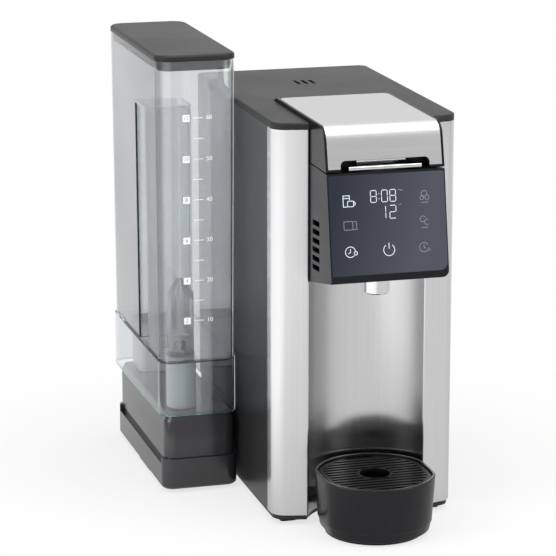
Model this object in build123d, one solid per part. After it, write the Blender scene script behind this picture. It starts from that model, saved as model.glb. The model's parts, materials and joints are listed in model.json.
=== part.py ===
from build123d import *
import math
import os

# A single-serve coffee maker with a side water tank. Millimetres, +Z up.
# The machine's front faces -Y and the tank stands at its -X side.
# The pieces are modelled about the middle of the machine's body, at counter height.
# Written out, the origin is on the counter under the middle of the whole object, tank included.

# Machine body
body_w = 149.4            # width
body_d = 240.0            # depth between the corner points of the sides
body_top = 325.0          # top face of the cover
body_z0 = 8.0             # lower edge of the housing and the steel
bow = 11.5                # how far the front swells past its corner points
front_corner_r = 12.0
back_corner_r = 8.0
sheet_t = 1.0             # steel sheet
wall = 2.4                # moulded walls
steel_wrap = 17.0         # how far the steel runs back along each side
cover_h = 5.4             # height of the top cover's rim
foot_h = 4.0
plate_inset = 1.5         # base plate inside the body's outline
screw_r = 1.5
boss_r = 4.5
boss_h = 18.0
slack = 0.4               # gap beside parts that slide or swing in an opening
seat_gap = 0.3            # gap over a soft or lifted seat
fit_gap = 0.08            # radial gap of a running fit

# Cup bay, brew axis and tray
bay_w = 95.6              # opening between the two wings
spout_reach = 30.5        # spout axis ahead of the front corner points
bay_edge_r = 1.5
head_z0 = 199.0           # underside of the head at the bay's back
tray_r = 48.2
tray_flat = 45.3          # half width between the tray's two flat sides
tray_h = 48.0
tray_draft = 2.4          # how much the tray's foot ring is smaller in radius
tray_lift = 3.0           # tray body above the counter
tray_ring_h = 7.0
tray_rim = 2.4
tray_floor_z = 8.0
grate_t = 3.0
grate_drop = 1.5          # grate top below the rim
grate_hole_r = 12.0
grate_hub_r = 16.5
grate_field_r = 39.5
slot_pitch = 8.4
slot_w = 4.0

# Head
split_z = 293.4           # top of the head, where the lid starts
head_side_gap = 0.5       # head to wing, each side
head_flat = 26.0          # level stretch of the underside, ahead of the bay's back
head_rise = 11.1          # degrees: slope of the underside
glass_lean = 10.1         # degrees: lean of the glass
glass_top_y = 51.8        # glass ahead of the front corner points, at its top
glass_top_z = 292.0
glass_h = 76.5            # along the glass
glass_t = 2.0
glass_side = 1.0          # head's rim beside the glass
glass_lip = 5.6           # head's lip under the glass
window_w, window_h = 74.0, 60.0
vent_count = 6
vent_pitch = 7.0
vent_h = 4.2
vent_l = 18.6
vent_z0 = 215.0
vent_y = 24.5             # vent middle ahead of the front corner points
vent_rise = 4.0           # degrees

# Lid
lid_top = 328.0
lid_gap = 1.0             # lid underside above the head
lid_crest_y = 42.3        # corner of the lid's top and front planes, ahead of the front corner points
lid_lean = 13.3           # degrees: lean of the lid's front
crest_r = 13.0
lid_thick_y = 60.0        # the thick part of the lid ends this far behind the front corner points
hinge_y = 87.0            # hinge axis behind the front corner points
barrel_r = 8.0
pin_r = 2.0
plate_t = 0.8
plate_side = 2.0
plate_corner_r = 6.0
plate_foot = 2.0          # lid plate's lower edge above the lid's underside
notch_w = 71.0
notch_h = 8.2
notch_d = 13.0
notch_r = 4.0
bar_w = 58.0
bar_h = 3.4
bar_t = 3.6
strip_w = 39.0            # bright strip on the notch's back
lid_swing = 85.0          # degrees: used only for the pocket's clearance
pocket_rear = 2.2

# Brew group
chamber_r = 29.0          # outside
chamber_set = 13.5        # chamber axis behind the spout axis
chamber_wall = 2.0
chamber_z0 = 232.0
flange_r = 30.5
step_down = 4.2           # ledge that carries the pod holder, below the head's top
funnel_z = 214.0
tube_r = 6.0
holder_r = 26.2
holder_z0 = 240.0
holder_wall = 1.6
holder_lip = 2.0
needle_r = 2.0
spout_r = 11.0
spout_flange_r = 13.5
spout_z0 = 192.2

# Inner parts
heater_x, heater_set = 20.0, 80.0     # heater behind the front corner points
heater_r = 20.0
heater_z0, heater_z1 = 30.0, 150.0
heater_in_z = 50.0
fuse_z, fuse_l, fuse_lead = 84.0, 28.0, 8.0
pump_side, pump_set = 32.1, 96.6      # pump inside the left wall, its motor's end inside the back wall
pump_r = 16.0
pump_l = 42.0
pump_head_l = 30.0
pump_head_w = 36.0
pump_mount_h = 8.0
air_side, air_set = 35.1, 46.6        # air pump inside the right wall and the back wall
air_w, air_l, air_h = 34.0, 60.0, 30.0
hose_r, hose_bore = 4.0, 2.5
hose_bend = 14.0
hose_rise, pump_hose_z = 22.0, 112.0
hot_rise = 50.0
air_hose_z = 250.0
hot_port_x, hot_port_set = 20.0, 48.0
board_side = 8.1          # board inside the right wall
board_t = 1.6
board_y, board_l = 0.0, 120.0
board_z, board_h = 130.0, 140.0
gland_side, gland_z = 25.1, 30.0
gland_r = 7.0

# Tank, its base and the swivel
tank_gap = 2.0            # tank to machine side
tank_w = 65.8
tank_d = 182.4
stand_rear = 12.7         # back end of the tank's stand behind the swivel axis
tank_corner_r = 12.5
tank_wall = 2.0
tank_top = 359.0
skirt_z = 65.8            # lower edge of the tank's skirt
floor_z = 112.0           # tank floor, upper face
floor_t = 2.2
ledge = 1.4               # the tank is this much narrower at its floor
recess_y0, recess_y1 = 48.0, 83.0    # finger recess behind the tank's front
recess_d = 38.0
recess_top = 313.0
lid_cap_h = 5.0
lid_over = 0.4
lid_rim_h = 8.0
lid_rim_inset = 3.4
base_w = 63.7
base_d = 176.7
base_corner_r = 10.0
base_z0 = 3.0
base_top = 28.8
groove_h = 5.5
groove_d = 3.0
seat_inset = 2.2
seat_top = 66.0
seat_bevel = 6.0
tower_r = 12.4            # tower round the valve
rest_side0, rest_side1 = 14.0, 13.0   # rear rest inside the tank's left and right faces
rest_back, rest_d = 16.0, 34.0
rest_corner_r = 6.0
valve_side, valve_front = 23.8, 28.0  # valve axis from the tank's left and front faces
stem_r = 6.0
stem_l = 10.0
valve_drop = 3.0
filter_r = 11.0
filter_h = 48.0
cone_h = 12.0
pivot_x = 10.0            # swivel axis inside the machine's left face
pivot_y = 22.0            # swivel axis behind the machine's back
post_r = 7.0
lug_r = 10.0
lug_z0, lug_z1 = 9.0, 22.0

# Worked out from the sizes above
half_w = body_w / 2
front_y = -body_d / 2
back_y = body_d / 2
cover_z0 = body_top - cover_h
wrap_y = front_y + steel_wrap
bow_r = (half_w ** 2 + bow ** 2) / (2 * bow)


def bow_y(x):
    """Y of the bowed front at x."""
    return front_y - bow + bow_r - math.sqrt(bow_r ** 2 - x ** 2)


brew_y = front_y - spout_reach
bay_r = math.hypot(bay_w / 2, bow_y(bay_w / 2) - brew_y)
bay_back = brew_y + bay_r
skin = sheet_t + wall
inner_w = half_w - skin
inner_back = back_y - skin
heater_y = front_y + heater_set
hot_port_y = front_y + hot_port_set
pump_x = pump_side - inner_w
pump_y0 = inner_back - pump_set
air_x = inner_w - air_side
air_y = inner_back - air_set
board_x = inner_w - board_side
gland_x = inner_w - gland_side
head_half = bay_w / 2 - head_side_gap
head_back = bay_back + 2.0
lean = math.radians(glass_lean)
lid_z0 = split_z + lid_gap
lid_half = head_half
hinge_yy = front_y + hinge_y
hinge_z = lid_top - barrel_r
pocket_back = hinge_yy + barrel_r + pocket_rear
tub_half = lid_half + slack
chamber_y = brew_y + chamber_set
step_z = split_z - step_down
swivel_x = -half_w + pivot_x
swivel_y = back_y + pivot_y
base_y1 = swivel_y + stand_rear
base_y0 = base_y1 - base_d
base_x1 = -half_w - tank_gap
base_x0 = base_x1 - base_w
tank_x1 = base_x1
tank_x0 = tank_x1 - tank_w
tank_y0 = base_y0
tank_y1 = tank_y0 + tank_d
rest_x0, rest_x1 = tank_x0 + rest_side0, tank_x1 - rest_side1
rest_y0, rest_y1 = tank_y1 - rest_back - rest_d, tank_y1 - rest_back
hub_top = floor_z - floor_t
valve_x = tank_x0 + valve_side
valve_y = tank_y0 + valve_front
stem_z0 = hub_top - stem_l


def block(x0, x1, y0, y1, z0, z1):
    """Box between two corners."""
    return Pos((x0 + x1) / 2, (y0 + y1) / 2, (z0 + z1) / 2) * Box(x1 - x0, y1 - y0, z1 - z0)


def post(x, y, z0, z1, r):
    """Upright cylinder."""
    return Pos(x, y, (z0 + z1) / 2) * Cylinder(r, z1 - z0)


def rod_x(x0, x1, y, z, r):
    """Cylinder along X."""
    return Pos((x0 + x1) / 2, y, z) * Rot(0, 90, 0) * Cylinder(r, x1 - x0)


def rod_y(x, y0, y1, z, r):
    """Cylinder along Y."""
    return Pos(x, (y0 + y1) / 2, z) * Rot(90, 0, 0) * Cylinder(r, y1 - y0)


def ring(x, y, z0, z1, r_out, r_in):
    """Upright tube."""
    return post(x, y, z0, z1, r_out) - post(x, y, z0, z1, r_in)


def slab(face, z0, z1):
    """Plan outline raised from z0 to z1."""
    return extrude(Pos(0, 0, z0) * face, z1 - z0)


def side_slab(face, x0, x1):
    """Outline in the YZ plane, carried along X."""
    return extrude(Plane.YZ.offset(x0) * face, x1 - x0)


def rounded(x0, x1, y0, y1, r):
    """Plan rectangle with round corners."""
    return Pos((x0 + x1) / 2, (y0 + y1) / 2) * RectangleRounded(x1 - x0, y1 - y0, r)


def rect(x0, x1, y0, y1):
    """Plan rectangle."""
    return Pos((x0 + x1) / 2, (y0 + y1) / 2) * Rectangle(x1 - x0, y1 - y0)


def outline(*pts):
    """Face inside straight lines."""
    return make_face(Polyline(*pts, close=True))


def near(face, u, v, tol=0.6):
    """Corners of a flat face that lie near (u, v)."""
    return [c for c in face.vertices() if abs(c.X - u) < tol and abs(c.Y - v) < tol]


def hose(points, bend, r_out, r_in):
    """Tube along straight runs joined by round bends."""
    path = FilletPolyline(*points, radius=bend)
    start = Plane(origin=path @ 0, z_dir=path % 0)
    return sweep(start * (Circle(r_out) - Circle(r_in)), path=path)


# Plan outlines of the body


def full_plan(inset):
    """Rectangle with a bowed front and round corners, drawn in by the inset."""
    half = half_w - inset
    r = bow_r - inset
    bow_centre = front_y - bow + bow_r
    corner_y = bow_centre - math.sqrt(r ** 2 - half ** 2)
    arc = ThreePointArc((half, corner_y), (0, bow_centre - r), (-half, corner_y))
    end_y = back_y - inset
    sides = Polyline((-half, corner_y), (-half, end_y), (half, end_y), (half, corner_y))
    face = make_face(sides.edges() + arc.edges())
    face = fillet([v for v in face.vertices() if v.Y > 0], back_corner_r - inset)
    return fillet([v for v in face.vertices() if v.Y < 0], front_corner_r - inset)


def bay_plan(inset):
    """The body's plan with the round cup bay taken out of its front."""
    r = bay_r + inset
    face = full_plan(inset) - Pos(0, brew_y) * Circle(r)
    edge_r = bay_edge_r - inset
    if edge_r > 0.1:
        rim = [v for v in face.vertices() if abs(math.hypot(v.X, v.Y - brew_y) - r) < 0.01]
        face = fillet(rim, edge_r)
    return face


def steel_plan():
    """The steel sheet's plan: both wings, and the bay's round back between them."""
    sheet = bay_plan(0) - bay_plan(sheet_t)
    wings = rect(-body_w, body_w, front_y - body_d, wrap_y)
    return sheet & (wings + rect(-bay_w / 2, bay_w / 2, front_y, 0))


head_mouth = block(-bay_w / 2, bay_w / 2, brew_y - bay_r, head_back + 4, head_z0, body_top)


def front_fascia():
    """Steel sheet: both wings, folded at their inner edges into the round back of the bay."""
    return slab(steel_plan(), body_z0, cover_z0) - head_mouth


def frame_plan():
    """Plan of the moulded wall behind the steel: both wings and the bay's back."""
    wings = rect(-body_w, body_w, front_y - body_d, wrap_y)
    return (bay_plan(0) - steel_plan() - bay_plan(skin)) & (wings + rect(-bay_w / 2, bay_w / 2, front_y, 0))


def bay_frame():
    """Moulded front frame that backs the steel."""
    return slab(frame_plan(), body_z0, cover_z0) - head_mouth


def main_housing():
    """Moulded sides and back, with bosses for the base plate's screws and posts for the board."""
    walls = rect(-body_w, body_w, wrap_y, body_d) & (full_plan(0) - full_plan(skin))
    shell = slab(walls, body_z0, cover_z0)
    for y in (board_y - board_l / 2 + 8, board_y + board_l / 2 - 8):
        for z in (board_z - board_h / 2 + 8, board_z + board_h / 2 - 8):
            shell += rod_x(board_x + board_t, inner_w + 0.5, y, z, 3)
    for x, y in screw_places():
        side = math.copysign(inner_w + 0.5, x)
        web = block(min(x, side), max(x, side), y - 1.5, y + 1.5, body_z0, body_z0 + boss_h)
        shell += web + post(x, y, body_z0, body_z0 + boss_h, boss_r)
        shell -= post(x, y, body_z0, body_z0 + boss_h - 2, screw_r)
    shell -= rod_y(gland_x, inner_back - 1, back_y + 1, gland_z, gland_r)
    shell -= rod_y(swivel_x, inner_back - 1, back_y + 1, elbow_z, hose_r)
    return shell


stop_w = 28.0
tray_foot_r = tray_r - tray_draft - 0.6


def screw_places():
    """Six screws, three along each side."""
    x = inner_w - boss_r
    return [(s * x, y) for s in (-1, 1) for y in (wrap_y + 28, 20.0, back_y - 14)]


elbow_z = 36.0
tongue_r = pivot_x + tank_gap - 0.5
post_z1 = lug_z1 + 4.0


def base_plate():
    """Floor of the machine, with the tongue that carries the swivel post and the tray's stop."""
    plate = slab(bay_plan(plate_inset), foot_h, body_z0)
    stop = rect(-stop_w / 2, stop_w / 2, brew_y, bay_back + 4) - Pos(0, brew_y) * Circle(tray_foot_r + seat_gap)
    plate += slab(stop, foot_h, body_z0)
    tongue = rect(swivel_x - tongue_r, swivel_x + tongue_r, back_y - 12, swivel_y)
    tongue = tongue + Pos(swivel_x, swivel_y) * Circle(tongue_r)
    plate += slab(tongue, foot_h, body_z0)
    plate -= post(swivel_x, swivel_y, foot_h, body_z0, hose_bore + 1.0)
    for x, y in screw_places():
        plate -= post(x, y, foot_h, body_z0, screw_r + 0.2)
    return plate


def housing_screws():
    """Pan-head screws up through the base plate."""
    screws = []
    for x, y in screw_places():
        screws.append(post(x, y, foot_h, body_z0 + 12, screw_r) + post(x, y, foot_h - 1.6, foot_h, 3.0))
    return Compound(screws)


def machine_feet():
    """Four rubber pads."""
    pads = []
    for x in (-half_w + 15, half_w - 15):
        for y in (front_y + 14, back_y - 26):
            pads.append(slab(rounded(x - 7, x + 7, y - 8, y + 8, 3), 0, foot_h))
    return Compound(pads)


# Top cover


def top_cover():
    """Cap with a round edge, the lid's pocket sunk into it and three vent slots."""
    cap = slab(full_plan(0), cover_z0, body_top)
    cap = fillet(cap.edges().group_by(Axis.Z)[-1], 1.4)
    cap -= slab(full_plan(wall), cover_z0, body_top - wall)
    cap -= block(-tub_half, tub_half, front_y - 2 * bow, pocket_back, cover_z0 - 1, body_top + 1)
    tub_z0 = split_z - wall
    tub_front = bay_back - 21.0
    for side in (-1, 1):
        x0, x1 = sorted((side * tub_half, side * (tub_half + wall)))
        cap += block(x0, x1, tub_front, pocket_back + wall, tub_z0, body_top - wall)
    cap += block(-tub_half, tub_half, pocket_back, pocket_back + wall, tub_z0, body_top - wall)
    cap += block(-tub_half, tub_half, head_back + slack, pocket_back, tub_z0, split_z)
    cap -= rod_x(-body_w, body_w, hinge_yy, hinge_z, pin_r)
    cap -= post(hot_port_x, hot_port_y, tub_z0, split_z, hose_r)
    for x in (-6.4, 0.0, 6.4):
        cap -= slab(Pos(x, front_y + 170) * SlotOverall(18, 3.0, rotation=90), cover_z0, body_top + 1)
    return cap


def hinge_pin():
    """Steel pin across the lid's barrel, held in the pocket's two walls."""
    return rod_x(-tub_half - wall, tub_half + wall, hinge_yy, hinge_z, pin_r)


# Head


def glass_y(z):
    """Y of the glass's outer face at height z."""
    return front_y - glass_top_y - (glass_top_z - z) * math.tan(lean)


def head_profile():
    """Side view of the head: level, then rising underside, and a leaning front."""
    y_flat = bay_back - head_flat
    rise = math.tan(math.radians(head_rise))
    foot_z = glass_top_z - (glass_h + glass_lip) * math.cos(lean)
    y_foot = glass_y(foot_z)
    z_foot = head_z0 + (y_flat - y_foot) * rise
    return [(head_back, head_z0), (y_flat, head_z0), (y_foot, z_foot), (glass_y(split_z), split_z),
            (head_back, split_z)]


glass_mid_z = glass_top_z - glass_h / 2 * math.cos(lean)
glass_plane = Plane(origin=(0, glass_y(glass_mid_z), glass_mid_z), x_dir=(1, 0, 0),
                    z_dir=(0, -math.cos(lean), math.sin(lean)))


def glass_face(inset=0.0):
    """Outline of the glass, its lower right corner the roundest."""
    width, height = 2 * (head_half - glass_side - inset), glass_h - 2 * inset
    face = Rectangle(width, height)
    face = fillet(near(face, width / 2, -height / 2), 6.0)
    face = fillet(near(face, -width / 2, -height / 2), 1.5)
    return fillet([v for v in face.vertices() if v.Y > height / 2 - 0.1], 1.5)


def head_housing():
    """Hollow forward head, open at the back, with a window for the display."""
    pts = head_profile()
    solid = side_slab(outline(*pts), -head_half, head_half)
    foot = [e for e in solid.edges().filter_by(GeomType.LINE)
            if abs(e.center().X) > head_half - 0.1 and e.center().Z < head_z0 + 14
            and e.center().Y < bay_back - head_flat]
    right = [e for e in foot if e.center().X > 0]
    solid = fillet(right, 5.5)
    front_edges = [e for e in solid.edges() if abs(e.center().Y - pts[2][0]) < 0.6]
    solid = fillet(front_edges, 1.2)
    depth = (glass_t + wall) / math.cos(lean)
    foot_z = pts[2][1] + wall + 0.6
    inner = [(head_back + 1, head_z0 + wall), (pts[1][0], head_z0 + wall), (glass_y(foot_z) + depth, foot_z),
             (glass_y(split_z - wall) + depth, split_z - wall), (head_back + 1, split_z - wall)]
    solid -= side_slab(outline(*inner), -head_half + wall, head_half - wall)
    solid -= extrude(glass_plane * glass_face(), -glass_t)
    window = glass_plane.offset(-glass_t) * RectangleRounded(window_w, window_h, 4)
    solid -= extrude(window, -wall - 1)
    solid -= post(0, chamber_y, split_z - wall - 1, split_z + 1, flange_r)
    solid -= post(0, brew_y, head_z0 - 1, funnel_z, spout_r)
    for side in (-1, 1):
        x = side * catch_x
        solid -= block(x - catch_w / 2 - slack, x + catch_w / 2 + slack, catch_y0 - 3.4,
                       catch_y0 + catch_t + slack, split_z - wall - 1, split_z + 1)
        for k in range(vent_count):
            slot = Plane.YZ * Pos(front_y - vent_y, vent_z0 + k * vent_pitch) * Rot(0, 0, -vent_rise)
            wide = extrude(slot * RectangleRounded(vent_l, vent_h, 1.0), 2 * wall, both=True)
            solid -= Pos(side * head_half, 0, 0) * wide
    return solid


catch_x, catch_w, catch_t, catch_l = 37.0, 12.0, 2.6, 7.0
catch_y0 = glass_y(split_z) + 8.5


def control_glass():
    """Touch glass let into the head's front."""
    pane = extrude(glass_plane * glass_face(), -glass_t)
    return chamfer(pane.edges().group_by(SortBy.LENGTH)[-1], 0.3)


def display_board():
    """Circuit board behind the glass, with its light modules."""
    seat = glass_plane.offset(-glass_t - wall)
    board = extrude(seat * Rectangle(window_w + 8, window_h + 6), -board_t)
    modules = glass_plane.offset(-glass_t - 0.2)
    places = [(8, 14, 30, 22), (-29, 14, 10, 10), (-29, -22, 10, 10), (0, -22, 10, 10), (29, -22, 10, 10)]
    for x, y, w, h in places:
        board += extrude(modules * Pos(x, y) * Rectangle(w, h), -wall + 0.2)
    return board


# Spout and brew group


def spout():
    """Chrome spout with a flange inside the head."""
    flange_z = spout_flange_z
    body = post(0, brew_y, spout_z0, flange_z, spout_r)
    body += post(0, brew_y, flange_z, flange_z + 1.8, spout_flange_r)
    body = chamfer(body.edges().group_by(Axis.Z)[0], 0.8)
    body -= post(0, brew_y, funnel_z - 11, flange_z + 2, tube_r)
    body -= post(0, brew_y, spout_z0 + 6, funnel_z, tube_r - 1.5)
    for x in (-4.2, 4.2):
        body -= post(x, brew_y, spout_z0 - 1, spout_z0 + 6, 3.0)
    return body


spout_flange_z = 210.2


def spout_seal():
    """Ring between the funnel's tube and the spout's flange."""
    return ring(0, brew_y, spout_flange_z + 1.8, funnel_z - 0.6, 9.0, tube_r)


def chamber_solid(inset, top):
    """Chamber and funnel as one solid, drawn in by the inset."""
    r = chamber_r - inset
    floor = chamber_z0 + inset * 0.6
    cup = post(0, chamber_y, floor, top, r)
    funnel = loft([Pos(0, chamber_y, floor) * Circle(r), Pos(0, brew_y, funnel_z) * Circle(tube_r - inset)])
    return cup + funnel + post(0, brew_y, funnel_z - 11 + (0 if inset == 0 else -1), funnel_z, tube_r - inset)


def brew_chamber():
    """Cup under the lid, its flange let into the head's top, its funnel feeding the spout."""
    body = chamber_solid(0, split_z) + post(0, chamber_y, split_z - wall, split_z, flange_r)
    body -= chamber_solid(chamber_wall, step_z)
    body -= post(0, chamber_y, step_z, split_z + 1, holder_lip_r + 0.3)
    body -= rod_y(0, chamber_y + chamber_r - chamber_wall - 2, chamber_y + chamber_r, air_hose_z,
                  hose_bore)
    return body


holder_lip_r = holder_r + holder_lip


def pod_holder():
    """Lift-out cup for a pod or ground coffee, with a lip and drain holes."""
    lip_z1 = step_z + 2.2
    cup = post(0, chamber_y, holder_z0, step_z, holder_r) + post(0, chamber_y, step_z, lip_z1, holder_lip_r)
    cup -= post(0, chamber_y, holder_z0 + holder_wall, lip_z1 + 1, holder_r - holder_wall)
    for k in range(6):
        a = math.radians(60 * k)
        cup -= post(11 * math.cos(a), chamber_y + 11 * math.sin(a), holder_z0 - 1, holder_z0 + 3, 2.0)
    return cup


def lower_needle():
    """Hollow needle that opens the pod's bottom."""
    z = holder_z0 + holder_wall
    needle = post(0, chamber_y, z, z + 2, 5) + post(0, chamber_y, z + 2, z + 9, needle_r)
    needle += Pos(0, chamber_y, z + 12) * Cone(needle_r, 0.3, 6)
    return needle


# Heating, pumping and control


def heater():
    """Inline heater with its two barbs."""
    body = post(heater_x, heater_y, heater_z0, heater_z1, heater_r)
    body = fillet(body.edges().group_by(Axis.Z)[-1], 3)
    body += post(heater_x, heater_y, heater_z1, heater_z1 + 10, hose_bore)
    return body + rod_x(heater_x - heater_r - 8, heater_x - heater_r + 2, heater_y, heater_in_z, hose_bore)


def heater_bracket():
    """Cup that stands the heater on the base plate."""
    cup = post(heater_x, heater_y, body_z0, body_z0 + 3, heater_r + 6)
    cup += post(heater_x, heater_y, body_z0, heater_z0 + 8, heater_r + 2)
    return cup - post(heater_x, heater_y, heater_z0, heater_z0 + 9, heater_r) \
        - post(heater_x, heater_y, body_z0 + 3, heater_z0, heater_r - 4)


def thermostat():
    """Disc thermostat on the heater's top."""
    return post(heater_x + 9, heater_y + 8, heater_z1, heater_z1 + 5, 6) \
        + post(heater_x + 9, heater_y + 8, heater_z1 + 5, heater_z1 + 8, 4)


def thermal_fuse():
    """Fuse strapped to the heater's side."""
    x = heater_x + heater_r + 2.5
    leads = post(x, heater_y, fuse_z - fuse_lead, fuse_z + fuse_l + fuse_lead, 0.8)
    return post(x, heater_y, fuse_z, fuse_z + fuse_l, 2.5) + leads


def water_pump():
    """Diaphragm pump: motor along Y and a head with two barbs."""
    z = body_z0 + pump_mount_h + pump_r
    y1 = pump_y0 + pump_l
    motor = rod_y(pump_x, pump_y0, y1, z, pump_r)
    motor = fillet(motor.edges().group_by(Axis.Y)[0], 2)
    half = pump_head_w / 2
    head = block(pump_x - half, pump_x + half, y1, y1 + pump_head_l, z - pump_r, z + pump_r + 4)
    body = motor + head
    for x, y in (pump_in, pump_out):
        body += post(x, y, z + pump_r, pump_port_z, hose_bore)
    return body


pump_in = (pump_x + 8, pump_y0 + pump_l + 8)
pump_out = (pump_x - 8, pump_y0 + pump_l + 22)
pump_port_z = body_z0 + pump_mount_h + 2 * pump_r + 12


def pump_mount():
    """Rubber saddle under the pump."""
    half = pump_head_w / 2
    z = body_z0 + pump_mount_h
    saddle = block(pump_x - half, pump_x + half, pump_y0 + 4, pump_y0 + pump_l, body_z0, z + 5)
    saddle -= rod_y(pump_x, pump_y0, pump_y0 + pump_l + 1, z + pump_r, pump_r)
    return saddle + block(pump_x - half, pump_x + half, pump_y0 + pump_l, pump_y0 + pump_l + pump_head_l,
                          body_z0, z)


def air_pump():
    """Small air pump that clears the chamber."""
    z = body_z0 + 6
    body = block(air_x - air_w / 2, air_x + air_w / 2, air_y - air_l / 2, air_y + air_l / 2, z, z + air_h)
    body = fillet(body.edges().filter_by(Axis.Z), 4)
    return body + post(air_x, air_port_y, z + air_h, z + air_h + 8, hose_bore)


air_port_y = air_y - air_l / 2 + 8


def air_pump_mount():
    """Rubber pad under the air pump."""
    return slab(rounded(air_x - air_w / 2, air_x + air_w / 2, air_y - air_l / 2, air_y + air_l / 2, 4),
                body_z0, body_z0 + 6)


def control_board():
    """Upright circuit board with a relay, a capacitor, a heat sink and two connectors."""
    x1 = board_x
    board = block(x1, x1 + board_t, board_y - board_l / 2, board_y + board_l / 2, board_z - board_h / 2,
                  board_z + board_h / 2)
    board += block(x1 - 15, x1, board_y - 50, board_y - 32, board_z + 20, board_z + 48)
    board += rod_x(x1 - 18, x1, board_y + 30, board_z + 36, 8)
    board += block(x1 - 12, x1, board_y - 10, board_y + 20, board_z - 40, board_z - 10)
    board += block(x1 - 9, x1, board_y + 34, board_y + 54, board_z - 60, board_z - 52)
    return board + block(x1 - 9, x1, board_y - 54, board_y - 34, board_z - 60, board_z - 52)


def cold_hose():
    """From the swivel's elbow to the pump."""
    x, y = pump_in
    end = inner_back - 8
    top = pump_port_z + hose_rise
    return hose([(swivel_x, end, elbow_z), (swivel_x, y, elbow_z), (swivel_x, y, top), (x, y, top),
                 (x, y, pump_port_z)], hose_bend, hose_r, hose_bore)


def pump_hose():
    """From the pump to the heater."""
    x, y = pump_out
    z = pump_hose_z
    return hose([(x, y, pump_port_z), (x, y, z), (x, heater_y, z), (x, heater_y, heater_in_z),
                 (heater_x - heater_r - 8, heater_y, heater_in_z)], hose_bend, hose_r, hose_bore)


def hot_hose():
    """From the heater to the port under the lid."""
    z = heater_z1 + 10
    top = z + hot_rise
    return hose([(heater_x, heater_y, z), (heater_x, heater_y, top), (hot_port_x, hot_port_y, top),
                 (hot_port_x, hot_port_y, split_z)], hose_bend, hose_r, hose_bore)


def air_hose():
    """From the air pump to the chamber."""
    z = body_z0 + 6 + air_h + 8
    return hose([(air_x, air_port_y, z), (air_x, air_port_y, air_hose_z), (0, air_port_y, air_hose_z),
                 (0, chamber_y + chamber_r, air_hose_z)], hose_bend, hose_r, hose_bore)


def hose_clamps():
    """Spring clamps on the hose ends."""
    z_air = body_z0 + 6 + air_h + 8
    clamps = []
    upright = [(*pump_in, pump_port_z), (*pump_out, pump_port_z), (air_x, air_port_y, z_air),
               (heater_x, heater_y, heater_z1 + 10)]
    for x, y, z in upright:
        clamps.append(ring(x, y, z + 1, z + 6, hose_r + 1.2, hose_r))
    x = heater_x - heater_r - 8
    outside = rod_x(x - 6, x - 1, heater_y, heater_in_z, hose_r + 1.2)
    clamps.append(outside - rod_x(x - 6, x - 1, heater_y, heater_in_z, hose_r))
    return Compound(clamps)


def port_seal():
    """Soft ring on the hot water port."""
    return ring(hot_port_x, hot_port_y, split_z, lid_z0 - 0.2, 6.0, hose_bore)


def cord_gland():
    """Bush for the mains lead in the back wall."""
    body = rod_y(gland_x, inner_back, back_y, gland_z, gland_r)
    body += rod_y(gland_x, back_y, back_y + 3, gland_z, gland_r + 3)
    body += rod_y(gland_x, inner_back - 3, inner_back, gland_z, gland_r + 2)
    return body - rod_y(gland_x, inner_back - 4, back_y + 4, gland_z, gland_r - 3.5)


# Lid


def lid_profile():
    """Side view of the lid: flat top, round crest, leaning front, thin arm and hinge barrel."""
    crest_y = front_y - lid_crest_y
    foot_y = crest_y - (lid_top - lid_z0) * math.tan(math.radians(lid_lean))
    thick_y = front_y + lid_thick_y
    arm_z = lid_top - 2 * barrel_r
    pts = [(hinge_yy, lid_top), (crest_y, lid_top), (foot_y, lid_z0), (thick_y, lid_z0),
           (thick_y, arm_z), (hinge_yy, arm_z)]
    face = outline(*pts)
    face = fillet(near(face, crest_y, lid_top), crest_r)
    return face + Pos(hinge_yy, hinge_z) * Circle(barrel_r)


def plate_band(half):
    """Solid of the lid plate's thickness, over the lid's top and front."""
    face = lid_profile()
    band = face - offset(face, amount=-plate_t)
    top = rect(front_y - body_d, hinge_yy, hinge_z, lid_top + 1)
    front = rect(front_y - body_d, front_y - 20, lid_z0 + plate_foot, lid_top + 1)
    band = side_slab(band & (top + front), -half, half)
    trim = rect(-half, half, front_y - body_d, hinge_yy)
    trim = fillet([v for v in trim.vertices() if v.Y > hinge_yy - 0.1], plate_corner_r)
    return band & slab(trim, lid_z0, lid_top + 1)


def notch(depth, grow=0.0):
    """Grip notch in the lid's lower front edge."""
    y_front = front_y - lid_crest_y - (lid_top - lid_z0)
    half, top = notch_w / 2 + grow, notch_h + grow
    face = Rectangle(2 * half, 2 * top)
    face = fillet(face.vertices(), notch_r + grow)
    plane = Plane(origin=(0, notch_front + depth, lid_z0), x_dir=(1, 0, 0), z_dir=(0, -1, 0))
    solid = extrude(plane * face, notch_front + depth - y_front)
    return solid & block(-body_w, body_w, front_y - body_d, back_y, lid_z0, lid_top)


notch_front = front_y - lid_crest_y - (lid_top - lid_z0) * math.tan(math.radians(lid_lean))


def lid_shell():
    """Black frame of the lid, hollow from below, with the grip notch and the hinge barrel."""
    face = lid_profile()
    solid = side_slab(face, -lid_half, lid_half)
    inner = offset(face, amount=-wall) & rect(front_y - body_d, front_y + lid_thick_y - wall, 0, lid_top)
    hollow = side_slab(inner + inner_skirt(), -lid_half + wall, lid_half - wall)
    solid -= hollow
    solid += notch(notch_d + wall, wall) & side_slab(face, -lid_half, lid_half)
    strip = block(-lid_half + wall, lid_half - wall, notch_front, liner_y0, lid_z0, lid_z0 + liner_t)
    solid += strip & side_slab(face, -lid_half, lid_half)
    solid -= notch(notch_d)
    solid -= plate_band(lid_half - plate_side)
    return solid - rod_x(-body_w, body_w, hinge_yy, hinge_z, pin_r + fit_gap)


liner_t = 2.0
liner_y0 = notch_front + notch_d + 3.0


def inner_skirt():
    """Mouth of the lid's hollow, down through its lower edge."""
    return rect(liner_y0, front_y + lid_thick_y - wall, lid_z0 - 1, lid_z0 + 2 * wall)


def lid_plate():
    """Brushed plate bent over the lid's crest, cut round the grip notch."""
    return plate_band(lid_half - plate_side) - notch(notch_d)


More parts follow.
